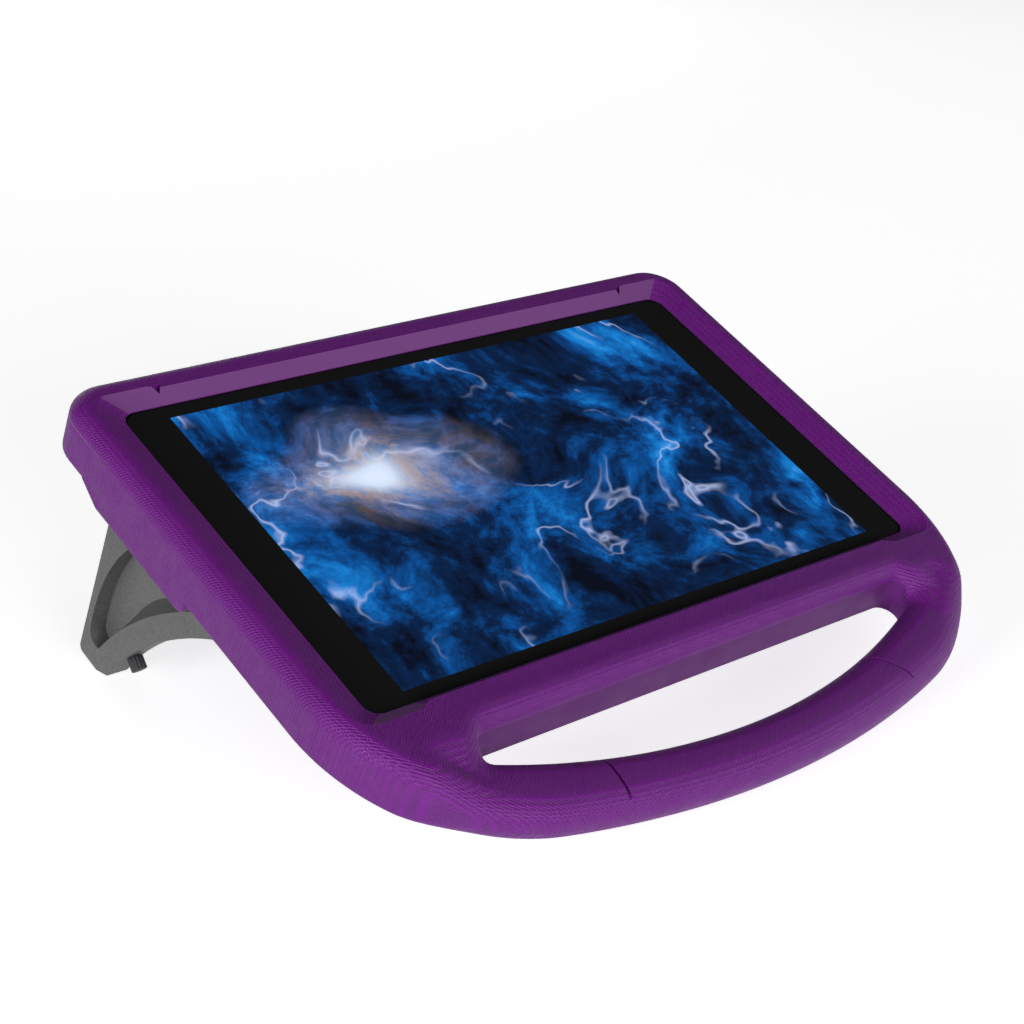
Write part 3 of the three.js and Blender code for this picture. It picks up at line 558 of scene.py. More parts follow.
@dataclass(frozen=True)
class FoamFinish:
    """Closed-cell foam, moulded with a fine even lattice of dimples or left smooth; where grained, its dimples carry
    painted shade and its crowns painted highlights.
    """

    name: str
    tone: Triple
    worn: Triple
    pitch: float = 0.00082
    depth: float = 0.0003
    roughness: float = 0.5
    gloss: float = 0.38
    # The thin pale line along the wall, a painted highlight: its level, half width, fade along y in tenths of a metre,
    # and tone.
    highlight_line_level: float = -0.0012
    highlight_line_half: float = 0.0003
    highlight_line_fade: Pair = (0.55, 0.78)
    highlight_line_tone: Triple = (0.5, 0.35, 0.6)
    dimple_edges: Pair = (0.18, 0.62)
    # Shares of the painted shade in the dimples, the painted highlight on the crowns and the painted highlight line.
    dimple_shade_share: float = 0.6
    crown_highlight_share: float = 0.35
    highlight_line_share: float = 0.3
    pore_scale: float = 2600.0
    pore_depth: float = 0.00004
    sheen: float = 0.03
    sheen_tone: tuple[float, float, float, float] = (0.92, 0.8, 1, 1)

    def lattice(self, kit: NodeKit, where: NodeSocket) -> NodeSocket:
        """Adds the lattice of dimples, set at 45 degrees.

        Args:
            kit: the material's nodes.
            where: the coordinates.

        Returns:
            0 at the bottom of a dimple and 1 between them.
        """
        turned = kit.add("Mapping", {"Vector": where, "Rotation": (0, 0, math.pi / 4)}).outputs[0]
        cells = {"Vector": turned, "Scale": 1 / self.pitch, "Randomness": 0.0}
        far = kit.add("TexVoronoi", cells, feature="F1").outputs["Distance"]
        return kit.ramp(far, [*zip(self.dimple_edges, (0.0, 1.0))])

    def highlight_line(self, kit: NodeKit, where: NodeSocket, raised: NodeSocket) -> NodeSocket:
        """Adds a painted highlight: a thin pale line on the lattice's crowns along the wall, towards the rear of the
        shell.

        Args:
            kit: the material's nodes.
            where: the coordinates.
            raised: the lattice, in whose dimples the line is not seen.

        Returns:
            1 on the line and 0 off it.
        """
        split = kit.add("SeparateXYZ", {"Vector": where})
        off = kit.math("ABSOLUTE", kit.math("SUBTRACT", split.outputs[2], self.highlight_line_level))
        line = kit.math("MULTIPLY", kit.math("LESS_THAN", off, self.highlight_line_half), raised)
        along = kit.ramp(kit.math("MULTIPLY", split.outputs[1], 10.0), [*zip(self.highlight_line_fade, (0.0, 1.0))])
        return kit.math("MULTIPLY", line, along)

    def build(self) -> Material:
        """Makes the material.

        Returns:
            The material.
        """
        kit = NodeKit(self.name)
        where = kit.plane_coordinates()
        cloud = kit.ramp(kit.noise(where, 38.0, 4.0), [(0.35, 0.0), (0.75, 1.0)])
        colour = kit.mix(cloud, (*self.tone, 1), (*self.worn, 1))
        normal = kit.bump(kit.noise(where, self.pore_scale, 2.0), self.pore_depth, 0.4)
        rough = kit.ramp(kit.noise(where, 160.0), [(0.3, self.roughness - 0.05), (0.7, self.roughness + 0.07)])
        if self.depth:
            raised = self.lattice(kit, where)
            highlight_line = self.highlight_line(kit, where, raised)
            # Painted light on the lattice: deep is painted shade in the dimples, pale is a painted highlight on the
            # crowns, and the thin pale line is a painted highlight too.
            deep = tuple(tone * 0.55 for tone in self.tone)
            pale = tuple(min(1.0, tone * 1.3 + 0.012) for tone in self.worn)
            sunk = kit.math("SUBTRACT", 1.0, raised)
            layers = (
                (sunk, self.dimple_shade_share, deep),
                (raised, self.crown_highlight_share, pale),
                (highlight_line, self.highlight_line_share, self.highlight_line_tone),
            )
            for mask, share, tint in layers:
                colour = kit.mix(kit.math("MULTIPLY", mask, share), colour, (*tint, 1))
            normal = kit.bump(raised, self.depth, 0.8, normal)
        kit.shade(Base_Color=colour, Roughness=rough, Normal=normal, Specular_IOR_Level=self.gloss)
        kit.shade(Sheen_Weight=self.sheen, Sheen_Roughness=0.45, Sheen_Tint=self.sheen_tone)
        return kit.material


@dataclass(frozen=True)
class PlasticFinish:
    """Moulded plastic or rubber with a fine eroded grain."""

    name: str
    tone: Triple
    roughness: float = 0.55
    grain: float = 0.0006
    depth: float = 0.00008

    def build(self) -> Material:
        """Makes the material.

        Returns:
            The material.
        """
        kit = NodeKit(self.name)
        where = kit.plane_coordinates()
        pale = tuple(min(1.0, level * 1.35) for level in self.tone)
        dark = tuple(level * 0.8 for level in self.tone)
        speck = kit.noise(where, 1.1 / self.grain, 2.0, 0.5)
        colour = kit.mix(kit.ramp(speck, [(0.35, 0.0), (0.65, 1.0)]), (*dark, 1), (*pale, 1))
        cells = {"Vector": where, "Scale": 1 / self.grain, "Randomness": 0.7}
        pebble = kit.add("TexVoronoi", cells, feature="SMOOTH_F1").outputs["Distance"]
        rough = kit.ramp(kit.noise(where, 220.0), [(0.3, self.roughness - 0.06), (0.7, self.roughness + 0.06)])
        kit.shade(Base_Color=colour, Roughness=rough, Normal=kit.bump(pebble, self.depth, 0.6))
        return kit.material


@dataclass(frozen=True)
class MetalFinish:
    """Drawn or anodised metal with fine marks along one way."""

    name: str
    tone: Triple
    roughness: float = 0.3
    along: Triple = (200.0, 12.0, 200.0)

    def build(self) -> Material:
        """Makes the material.

        Returns:
            The material.
        """
        kit = NodeKit(self.name)
        where = kit.add("Mapping", {"Vector": kit.plane_coordinates(), "Scale": self.along}).outputs[0]
        marks = kit.noise(where, 8.0, 5.0, 0.7)
        dark = tuple(level * 0.75 for level in self.tone)
        colour = kit.mix(kit.ramp(marks, [(0.3, 0.0), (0.7, 1.0)]), (*dark, 1), (*self.tone, 1))
        rough = kit.ramp(marks, [(0.2, self.roughness - 0.08), (0.8, self.roughness + 0.1)])
        kit.shade(Base_Color=colour, Roughness=rough, Metallic=1.0, Normal=kit.bump(marks, 0.00002, 0.4))
        return kit.material


@dataclass(frozen=True)
class ScreenFinish:
    """Black front glass with a lit display behind it that shows an abstract flow of blues."""

    name: str = "screen_glass"
    half_width: float = 0.1085
    half_depth: float = 0.0678
    bezel: Triple = (0.009, 0.009, 0.009)
    behind: Triple = (0.004, 0.004, 0.005)
    glow_at: Triple = (-0.052, 0.022, 0)
    thread_tone: Triple = (0.5, 0.6, 0.95)
    cool_tone: Triple = (0.25, 0.42, 0.75)
    warm_tone: Triple = (0.85, 0.55, 0.25)
    core_tone: Triple = (0.72, 0.82, 1.0)
    flow_tones: tuple[tuple[float, Triple], ...] = (
        (0.4, (0.0003, 0.002, 0.01)),
        (0.48, (0.0008, 0.016, 0.07)),
        (0.55, (0.0015, 0.075, 0.3)),
        (0.63, (0.008, 0.22, 0.66)),
        (0.76, (0.2, 0.5, 0.9)),
    )

    def picture(self, kit: NodeKit, where: NodeSocket) -> NodeSocket:
        """Adds the abstract picture: drifting currents, fine bright threads and a soft glow.

        Args:
            kit: the material's nodes.
            where: the coordinates.

        Returns:
            The picture's colour.
        """
        slow = kit.add("TexNoise", {"Vector": where, "Scale": 11.0, "Detail": 2.0}).outputs["Color"]
        push = kit.vector("SCALE", kit.vector("SUBTRACT", slow, (0.5, 0.5, 0.5)), Scale=0.075)
        bent = kit.vector("ADD", where, push)
        currents = kit.noise(bent, 24.0, 8.0, 0.6)
        fine = kit.noise(bent, 130.0, 8.0, 0.68)
        mixed = kit.math("ADD", kit.math("MULTIPLY", currents, 0.72), kit.math("MULTIPLY", fine, 0.28))
        body = kit.ramp(mixed, self.flow_tones)
        ridge = kit.math("ABSOLUTE", kit.math("SUBTRACT", kit.noise(bent, 30.0, 3.0, 0.5), 0.5))
        thread = kit.ramp(ridge, [(0.0, 1.0), (0.006, 0.5), (0.02, 0.0)])
        there = kit.ramp(kit.noise(where, 22.0, 1.0), [(0.5, 0.0), (0.62, 0.75)])
        threaded = kit.mix(kit.math("MULTIPLY", thread, there), body, (*self.thread_tone, 1))
        off = kit.vector("SUBTRACT", bent, self.glow_at)
        flat = kit.add("Mapping", {"Vector": off, "Scale": (1.0, 1.7, 0.0)}).outputs[0]
        far = kit.add("VectorMath", {0: flat}, operation="LENGTH").outputs["Value"]
        halo = kit.ramp(far, [(0.006, 0.0), (0.016, 0.55), (0.026, 0.85), (0.05, 1.0)])
        warmth = kit.ramp(fine, [(0.4, 0.0), (0.58, 1.0)])
        warm = kit.mix(warmth, (*self.cool_tone, 1), (*self.warm_tone, 1))
        core = kit.mix(kit.ramp(far, [(0.008, 0.0), (0.018, 1.0)]), (*self.core_tone, 1), warm)
        return kit.mix(halo, core, threaded)

    def build(self) -> Material:
        """Makes the material.

        Returns:
            The material.
        """
        kit = NodeKit(self.name)
        where = kit.plane_coordinates()
        split = kit.add("SeparateXYZ", {"Vector": where})
        inside_x = kit.math("LESS_THAN", kit.math("ABSOLUTE", split.outputs[0]), self.half_width)
        inside_y = kit.math("LESS_THAN", kit.math("ABSOLUTE", split.outputs[1]), self.half_depth)
        lit = kit.math("MULTIPLY", inside_x, inside_y)
        picture = self.picture(kit, where)
        smudge = kit.ramp(kit.noise(where, 30.0, 5.0, 0.7), [(0.4, 0.3), (0.75, 0.4)])
        base = kit.mix(lit, (*self.bezel, 1), (*self.behind, 1))
        kit.shade(Base_Color=base, Roughness=smudge, Specular_IOR_Level=0.08)
        kit.shade(Emission_Color=kit.mix(lit, (0, 0, 0, 1), picture), Emission_Strength=1.0)
        return kit.material


GRAINED_FOAM = FoamFinish("grained_foam", (0.125, 0.0, 0.185), (0.14, 0.001, 0.2))
SMOOTH_FOAM = FoamFinish("smooth_foam", (0.11, 0.016, 0.148), (0.12, 0.02, 0.158), depth=0.0, gloss=0.12)
# Painted light: the band's smooth foam, a little glossier, with its tone painted lighter and greyer for the light that
# its front-facing slopes catch.
GLOSSY_LIT_FOAM = FoamFinish("glossy_lit_foam", (0.17, 0.05, 0.21), (0.18, 0.055, 0.22), depth=0.0, gloss=0.3)
GRAINED_GREY = PlasticFinish("grained_grey_plastic", (0.098, 0.098, 0.098))
SMOOTH_GREY = PlasticFinish("smooth_grey_plastic", (0.105, 0.105, 0.105), depth=0.00001, roughness=0.5)
KNOB_RUBBER = PlasticFinish("knob_rubber", (0.024, 0.024, 0.027), roughness=0.62, grain=0.0005)
SCREEN = ScreenFinish()


@dataclass
class FoamShell:
    """The moulded foam: shell, rim, carrying handle, guards beside the legs and every cut-out.

    A top round is how far the rounding of an edge reaches in from the wall and down from the top.
    The band is the slope that falls from the rim to the glass.
    """

    fit: float = 0.3
    tablet: Pair = (252.2, 149.4)
    tablet_corner: float = 7.0
    half_width: float = 141.0
    top_edge: float = 89.5
    top_corner: float = 15.5
    rim_level: float = 4.0
    back_level: float = -15.8
    pocket_floor: float = -7.8
    rim_round: Pair = (6.2, 5.6)
    back_radius: float = 1.6
    lip_overlap: float = 1.1
    lip_thickness: float = 0.4
    lip_corner: float = 5.5
    band_side: float = 8.5
    band_top: Pair = (5.5, 7.2)
    band_bottom: Pair = (3.0, 5.4)
    band_ends: Pair = (106.0, 111.0)
    band_corner: float = 7.0
    # Which band faces take the foam painted lighter: from how far below the rim, from what share of the way out across
    # the top facet, and up to what x.
    lit_band_below: float = 0.3
    lit_band_from: float = 0.3
    lit_band_end: float = 125.3
    notch_at: float = 107.5
    notch_half: float = 2.0
    notch_depth: float = 3.6
    notch_level: float = 1.7
    notch_height: float = 4.0
    reach: float = 140.0
    corner_y: float = -58.5
    corner_arc: float = 73.0
    handle_width: float = 20.0
    handle_top: float = -0.9
    handle_bottom: float = -15.9
    handle_radius: float = 6.4
    handle_round: Pair = (9.0, 7.3)
    deck_round: Pair = (6.4, 6.0)
    funnel_round: float = 9.8
    funnel_span: Pair = (91.5, 98.0)
    slot_half: float = 100.8
    slot_shift: float = 2.0
    slot_wall: float = 90.8
    slot_end: float = 5.0
    slot_back_radius: float = 1.2
    rim_zone: Pair = (6.5, 13.0)
    step_from: Pair = (90.0, 96.0)
    step_to: Pair = (107.0, 118.0)
    shoulder_span: Pair = (97.0, 117.0)
    valley_off: float = 5.5
    valley_half: float = 3.2
    valley_depth: float = 0.8
    valley_span: tuple[float, float, float, float] = (90.0, 97.0, 104.0, 116.0)
    ridge_height: float = 0.3
    ridge_run: float = 4.0
    ridge_fade: Pair = (102.0, 116.0)
    wall_step: float = 0.5
    wall_step_drop: float = 0.2
    wall_reach: float = 1.2
    guard_span: Pair = (1.0, 66.0)
    guard_slope: float = 11.0
    guard_nose: float = 4.0
    guard_height: float = 4.9
    guard_width: float = 15.6
    guard_edge: float = 1.2
    guard_inset: float = 0.06
    nose_steps: int = 8
    side_windows: tuple[Pair, ...] = ((0.0, 17.0), (62.0, 11.0), (44.0, 11.0), (-44.0, 22.0))
    window_level: float = -5.1
    window_height: float = 9.0
    window_corner: float = 2.5
    window_reach: float = 22.0
    key_window_start: float = -102.5
    key_window_width: float = 55.5
    key_window_top: float = -0.6
    key_window_floor: Pair = (-9.6, -12.6)
    camera_y: float = 57.0
    camera_radii: Pair = (14.0, 8.5)
    camera_steps: int = 64
    hollow_sides: Pair = (13.0, 8.0)
    hollow_length: float = 101.0
    hollow_corner: float = 2.8
    hollow_depth: float = 2.7
    hollow_y: float = 26.5
    crease_at: float = 65.0
    crease_lean_right: float = math.radians(18.0)
    crease_lean_left: float = math.radians(7.0)
    crease_width: float = 1.1
    crease_depth: float = 1.6
    crease_collar: float = 6.0
    sharp_from: float = 32.0
    round_steps: int = 10
    small_steps: int = 4
    arc_steps: int = 56
    side_steps: int = 34
    corner_steps: int = 14
    top_steps: int = 60
    slot_end_steps: int = 22
    slot_back_steps: int = 50
    band_side_steps: int = 36
    band_corner_steps: int = 8
    band_end_steps: int = 2
    mesh_reach: float = 3.4

    @property
    def outer_arc(self) -> float:
        """Radius of the handle's outer arc, which meets both corner arcs without a kink."""
        return touching_arc(self.half_width - self.corner_arc, self.corner_y, self.corner_arc, -self.reach)

    @property
    def slot_corner(self) -> Pair:
        """Centre of the arc at the slot's right end, before the slot is shifted."""
        return self.slot_half - self.slot_end, -self.slot_wall - self.slot_end

    @property
    def slot_arc(self) -> float:
        """Radius of the slot's front wall, which meets both end arcs without a kink."""
        return touching_arc(*self.slot_corner, self.slot_end, self.handle_width - self.reach)

    def outline(self, inset: float) -> Points:
        """Lists the plan outline of shell and handle.

        Args:
            inset: how far it is moved inwards.

        Returns:
            The outline's points, anticlockwise from the front left.
        """
        corner_x = self.half_width - self.corner_arc
        corner_y = self.corner_y
        arc_y = self.outer_arc - self.reach
        spread = math.atan2(corner_x, arc_y - corner_y)
        top = (self.half_width - self.top_corner, self.top_edge - self.top_corner)
        large, small = self.corner_arc - inset, self.top_corner - inset
        side, corner = self.side_steps, self.corner_steps
        bottom = arc((0, arc_y), self.outer_arc - inset, -QUARTER - spread, -QUARTER + spread, self.arc_steps)
        right = arc((corner_x, corner_y), large, -QUARTER + spread, 0, side)
        upper_right = arc(top, small, 0, QUARTER, corner)
        upper_left = arc((-top[0], top[1]), small, QUARTER, 2 * QUARTER, corner)
        left = arc((-corner_x, corner_y), large, 2 * QUARTER, 3 * QUARTER - spread, side)
        return [
            *bottom[:-1],
            *right,
            *run(right[-1], upper_right[0], side),
            *upper_right,
            *run(upper_right[-1], upper_left[0], self.top_steps),
            *upper_left,
            *run(upper_left[-1], left[0], side),
            *left[:-1],
        ]

    def slot_outline(self, outset: float) -> Points:
        """Lists the plan outline of the handle's slot.

        Args:
            outset: how far it is moved into the foam.

        Returns:
            The outline's points, anticlockwise from the front left.
        """
        arc_y = self.slot_arc - self.reach + self.handle_width
        end_x, end_y = self.slot_corner
        spread = math.atan2(end_x, arc_y - end_y)
        end, steps = self.slot_end + outset, self.slot_end_steps
        front = arc((0, arc_y), self.slot_arc + outset, -QUARTER - spread, -QUARTER + spread, self.arc_steps)
        right = arc((end_x, end_y), end, -QUARTER + spread, QUARTER, steps)
        left = arc((-end_x, end_y), end, QUARTER, 3 * QUARTER - spread, steps)
        points = [*front[:-1], *right, *run(right[-1], left[0], self.slot_back_steps), *left[:-1]]
        return [point + X * self.slot_shift for point in points]

    def tablet_loop(self, level: float, half: Pair, corner: float, grow: bool = False) -> Points:
        """Lists one loop round the tablet, as many points whatever its size.

        Args:
            level: its height.
            half: half its width and half its depth.
            corner: the radius of its corners.
            grow: whether its sides move out to the crest of the band round the glass.

        Returns:
            The loop's points, anticlockwise from the bottom left.
        """
        near, far = self.band_ends
        flat = (0.0, 0.0)
        side, top, bottom = (self.band_side, self.band_top, self.band_bottom) if grow else (0.0, flat, flat)
        x = half[0] + side
        low_mid, low_end = (-half[1] - out for out in bottom)
        high_mid, high_end = (half[1] + out for out in top)
        turns = [
            ((x - corner, low_end + corner), -QUARTER),
            ((x - corner, high_end - corner), 0.0),
            ((corner - x, high_end - corner), QUARTER),
            ((corner - x, low_end + corner), 2 * QUARTER),
        ]
        corners = [arc(centre, corner, start, start + QUARTER, self.band_corner_steps) for centre, start in turns]
        middle, upright, end = self.arc_steps, self.band_side_steps, self.band_end_steps
        marks: list[tuple[Vector, int]] = [
            (Vector((-near, low_mid, 0)), middle),
            (Vector((near, low_mid, 0)), end),
            (Vector((far, low_end, 0)), end),
            *[(point, 1) for point in corners[0][:-1]],
            (corners[0][-1], upright),
            *[(point, 1) for point in corners[1][:-1]],
            (corners[1][-1], end),
            (Vector((far, high_end, 0)), end),
            (Vector((near, high_mid, 0)), middle),
            (Vector((-near, high_mid, 0)), end),
            (Vector((-far, high_end, 0)), end),
            *[(point, 1) for point in corners[2][:-1]],
            (corners[2][-1], upright),
            *[(point, 1) for point in corners[3][:-1]],
            (corners[3][-1], end),
            (Vector((-far, low_end, 0)), end),
        ]
        return [Vector((point.x, point.y, level)) for point in closed_runs(marks)]

    def edge_distance(self, x: float, y: float) -> float:
        """Returns how far a point of the plan lies inside the shell's side edge."""
        corner_x = self.half_width - self.corner_arc
        return self.corner_arc - math.hypot(max(abs(x) - corner_x, 0.0), min(y - self.corner_y, 0.0))

    def towards_handle(self, x: float, y: float) -> float:
        """Finds how far the top has dropped from the deck to the handle.

        Args:
            x: a point's place across the plan.
            y: its place up the plan.

        Returns:
            0 on the deck and 1 on the handle.
        """
        outer = 1 - smooth_step(*self.rim_zone, self.edge_distance(x, y))
        start = blend(*self.step_from, outer)
        end = blend(*self.step_to, outer)
        return smooth_step(start, end, -y)

    def shoulder(self, y: float) -> float:
        """Returns the share of the way from the shell's walls (0) to the handle's round ones (1)."""
        return smooth_step(*self.shoulder_span, -y)

    def slot_distance(self, x: float, y: float) -> float:
        """Finds how far a point of the plan lies outside the slot.

        Args:
            x: the point's place across the plan.
            y: its place up the plan.

        Returns:
            The distance to the slot's edge.
        """
        arc_y = self.slot_arc - self.reach + self.handle_width
        end_x, end_y = self.slot_corner
        x = abs(x - self.slot_shift)
        if x <= end_x and y > end_y:
            return y - end_y - self.slot_end
        if x * (arc_y - end_y) < end_x * (arc_y - y):
            return math.hypot(x, y - arc_y) - self.slot_arc
        return math.hypot(x - end_x, y - end_y) - self.slot_end

    def slot_round(self, y: float) -> float:
        """Returns how far from the slot its crest lies: its ends widen upwards as a funnel."""
        wide = blend(self.deck_round[0], self.funnel_round, smooth_step(*self.funnel_span, -y))
        return blend(wide, self.handle_round[0], self.shoulder(y))

    def from_crest(self, x: float, y: float) -> float:
        """Returns how far a point of the plan lies outside the crest round the slot."""
        return self.slot_distance(x, y) - self.slot_round(y)

    def valley(self, x: float, y: float) -> float:
        """Finds how deep the hollow beside the slot's right end is.

        Args:
            x: a point's place across the plan.
            y: its place up the plan.

        Returns:
            How far the point lies below the top.
        """
        if x <= 0:
            return 0.0
        start, full, fading, gone = self.valley_span
        window = smooth_step(start, full, -y) * (1 - smooth_step(fading, gone, -y))
        across = (self.from_crest(x, y) - self.valley_off) / self.valley_half
        return self.valley_depth * window * math.exp(-(across**2))

    def ridge(self, x: float, y: float) -> float:
        """Returns how far the roll along the slot's rear edge and round its ends stands up."""
        fade = 1 - smooth_step(*self.ridge_fade, -y)
        return self.ridge_height * fade * (1 - smooth_step(0.0, self.ridge_run, abs(self.from_crest(x, y))))

    def top_level(self, x: float, y: float) -> float:
        """Returns the height of the foam's top face."""
        level = blend(self.rim_level, self.handle_top, self.towards_handle(x, y))
        return level + self.ridge(x, y) - self.valley(x, y)

    def outer_rounds(self, y: float) -> Triple:
        """Sizes the rounded edges of the outer wall.

        Args:
            y: a place up the plan.

        Returns:
            The top round's reach and height there, and the back round's radius.
        """
        share = self.shoulder(y)
        reach, height = (blend(a, b, share) for a, b in zip(self.rim_round, self.handle_round))
        return reach, height, blend(self.back_radius, self.handle_radius, share)

    def slot_rounds(self, y: float) -> Triple:
        """Sizes the rounded edges of the slot's wall.

        Args:
            y: a place up the plan.

        Returns:
            The top round's reach and height there, and the back round's radius.
        """
        share = self.shoulder(y)
        height = blend(self.deck_round[1], self.handle_round[1], share)
        return self.slot_round(y), height, blend(self.slot_back_radius, self.handle_radius, share)

    @staticmethod
    def crest_of(edge: Points, inner: Points, rounds: Rounds) -> Points:
        """Lists where a wall's top round meets the top face."""
        return [a.lerp(b, rounds(a.y)[0]) for a, b in zip(edge, inner)]

    @staticmethod
    def inset_ring(edge: Points, inner: Points, depths: list[float], levels: list[float]) -> Points:
        """Lists an outline's points, each moved into the foam by its depth and put at its level."""
        places = zip(edge, inner, depths, levels)
        return [Vector((*a.lerp(b, depth).xy, level)) for a, b, depth, level in places]

    def wall(self, bm: BMesh, crest: Ring, lines: tuple[Points, Points], rounds: Rounds, step: float = 0.0) -> Ring:
        """Draws a wall down from its crest ring: rounded top, upright face, rounded back edge.

        Args:
            bm: the mesh.
            crest: the crest ring, already at its height.
            lines: the outline of the upright face, and the same one millimetre further into the foam.
            rounds: gives the top round's reach and height and the back round's radius at a y of the plan.
            step: how far the upright face stands back behind the rounded top, where it is smooth.

        Returns:
            The ring where the wall meets the back.
        """
        tops = [vert.co.z for vert in crest]
        sizes = [rounds(point.y) for point in lines[0]]
        shares = [self.shoulder(point.y) for point in lines[0]]
        backs = [blend(self.back_level, self.handle_bottom, share) for share in shares]
        here = crest
        for turn in range(1, self.round_steps + 1):
            angle = QUARTER * turn / self.round_steps
            depths = [reach * (1 - math.sin(angle)) for reach, _, _ in sizes]
            levels = [z - height * (1 - math.cos(angle)) for z, (_, height, _) in zip(tops, sizes)]
            here = draw_ring(bm, here, self.inset_ring(*lines, depths, levels))
        steps = [step * (1 - share) for share in shares]
        if step:
            dropped = [level - self.wall_step_drop for level in levels]
            here = draw_ring(bm, here, self.inset_ring(*lines, steps, dropped))
        for turn in range(self.small_steps + 1):
            angle = QUARTER * turn / self.small_steps
            depths = [back_step + back * (1 - math.cos(angle)) for back_step, (_, _, back) in zip(steps, sizes)]
            levels = [z + back * (1 - math.sin(angle)) for z, (_, _, back) in zip(backs, sizes)]
            here = draw_ring(bm, here, self.inset_ring(*lines, depths, levels))
        if step:
            self.smooth_upright(bm)
        return here

    def paint_band_lit(self, crest: Ring) -> None:
        """Gives the band's top facet, and the left end of its bottom one, the glossier foam with its tone painted
        lighter, as painted light.

        Args:
            crest: the ring at the band's upper edge.
        """
        for face in {face for vert in crest for face in vert.link_faces}:
            middle = face.calc_center_median()
            over_y = (abs(middle.y) - self.tablet[1] / 2 + self.lip_overlap) / self.band_top[1]
            at_end = middle.y > 0 or middle.x < 1 - self.band_ends[0]
            sloped = face.normal.z < LEVEL_NORMAL and middle.z < self.rim_level - self.lit_band_below
            if sloped and at_end and over_y > self.lit_band_from and abs(middle.x) < self.lit_band_end:
                face.material_index = Surface.POLISHED.value

    def smooth_upright(self, bm: BMesh) -> None:
        """Gives the slot's upright rear wall the smooth finish.

        Args:
            bm: the mesh of the foam, so far as it is made.
        """
        low, high = self.slot_corner[1], self.wall_reach - self.slot_wall
        top = self.rim_level - self.deck_round[1]
        for face in bm.faces:
            middle = face.calc_center_median()
            inside = abs(middle.x - self.slot_shift) < self.slot_half and low < middle.y < high
            if inside and middle.z < top and abs(face.normal.z) < UPRIGHT_NORMAL:
                face.material_index = Surface.SMOOTH.value

    def body(self) -> BMesh:
        """Makes the closed foam body without its cut-outs and guards.

        Returns:
            The body.
        """
        bm = bmesh.new()
        half = (self.tablet[0] / 2, self.tablet[1] / 2)
        glass = (half[0] - self.lip_overlap, half[1] - self.lip_overlap)
        walls = (half[0] + self.fit, half[1] + self.fit)
        edge = (self.outline(0), self.outline(1))
        slot = (self.slot_outline(0), self.slot_outline(1))
        outlines = [
            self.crest_of(*edge, self.outer_rounds),
            self.crest_of(*slot, self.slot_rounds),
            self.tablet_loop(0, glass, self.band_corner, grow=True),
        ]
        fill_rings(bm, [lay_ring(bm, points) for points in outlines])
        outer_crest, slot_crest, band_crest = refine(bm, outlines, self.mesh_reach)
        for vert in bm.verts:
            vert.co.z = self.top_level(vert.co.x, vert.co.y)
        backs = [
            self.wall(bm, outer_crest, edge, self.outer_rounds),
            self.wall(bm, slot_crest, slot, self.slot_rounds, self.wall_step),
        ]
        fill_rings(bm, backs)
        for rim in ring_edges(bm, band_crest):
            rim.smooth = False
        lip = self.tablet_loop(self.fit + self.lip_thickness, glass, self.lip_corner)
        here = draw_ring(bm, band_crest, lip)
        self.paint_band_lit(band_crest)
        corner = self.tablet_corner + self.fit
        for level, size, radius in (
            (self.fit, glass, self.lip_corner),
            (self.fit, walls, corner),
            (self.pocket_floor, walls, corner),
        ):
            here = draw_ring(bm, here, self.tablet_loop(level, size, radius), Surface.SMOOTH)
        bmesh.ops.contextual_create(bm, geom=here)
        bmesh.ops.recalc_face_normals(bm, faces=bm.faces)
        return bm

    def guard(self) -> BMesh:
        """Makes the right-hand guard, a ridge on the shell's back beside the leg.

        Returns:
            The guard, which reaches into the shell.
        """
        front, rear = self.guard_span
        low, inside = self.back_level - self.guard_height, self.back_level + self.guard_height
        centre = (front + self.guard_nose, low + self.guard_nose)
        nose = arc(centre, self.guard_nose, math.pi, 3 * QUARTER, self.nose_steps)
        points = [
            Vector((0, front, inside)),
            *[Vector((0, point.x, point.y)) for point in nose],
            Vector((0, rear - self.guard_slope, low)),
            Vector((0, rear, self.back_level)),
            Vector((0, rear, inside)),
        ]
        bm = outline_face(points)
        thicken(bm, X * self.guard_width, self.guard_edge)
        start = self.half_width - self.guard_width - self.guard_inset
        bmesh.ops.translate(bm, vec=(start, 0, 0), verts=bm.verts)
        return bm

    def side_window(self, y: float, width: float) -> BMesh:
        """Makes the cutter of a window through the right wall.

        Args:
            y: the window's place along the wall.
            width: its width.

        Returns:
            The cutter.
        """
        bm = rounded_plate(width, self.window_height, self.window_corner, 0.0, self.window_reach)
        place = Matrix.Translation((self.tablet[0] / 2 - self.fit, y, self.window_level))
        bmesh.ops.transform(bm, matrix=place @ SIDEWAYS, verts=bm.verts)
        return bm

    def key_window(self) -> BMesh:
        """Makes the cutter of the window over the keys, whose floor falls away outwards.

        Returns:
            The cutter.
        """
        inner, outer = self.tablet[1] / 2 - self.fit, self.top_edge + self.fit
        top = self.key_window_top
        sides = [*zip((inner, outer), self.key_window_floor), (outer, top), (inner, top)]
        bm = outline_face([Vector((0, y, z)) for y, z in sides])
        thicken(bm, X * self.key_window_width)
        bmesh.ops.translate(bm, vec=(self.key_window_start, 0, 0), verts=bm.verts)
        return bm

    def camera_hole(self) -> BMesh:
        """Makes the cutter of the flared hole behind the rear camera.

        Returns:
            The cutter.
        """
        bm = bmesh.new()
        depth = self.pocket_floor - self.back_level + 2 * self.fit
        outer, inner = self.camera_radii
        bmesh.ops.create_cone(bm, cap_ends=True, segments=self.camera_steps, radius1=outer, radius2=inner, depth=depth)
        middle = (self.pocket_floor + self.back_level) / 2
        bmesh.ops.translate(bm, vec=(0, self.camera_y, middle), verts=bm.verts)
        return bm

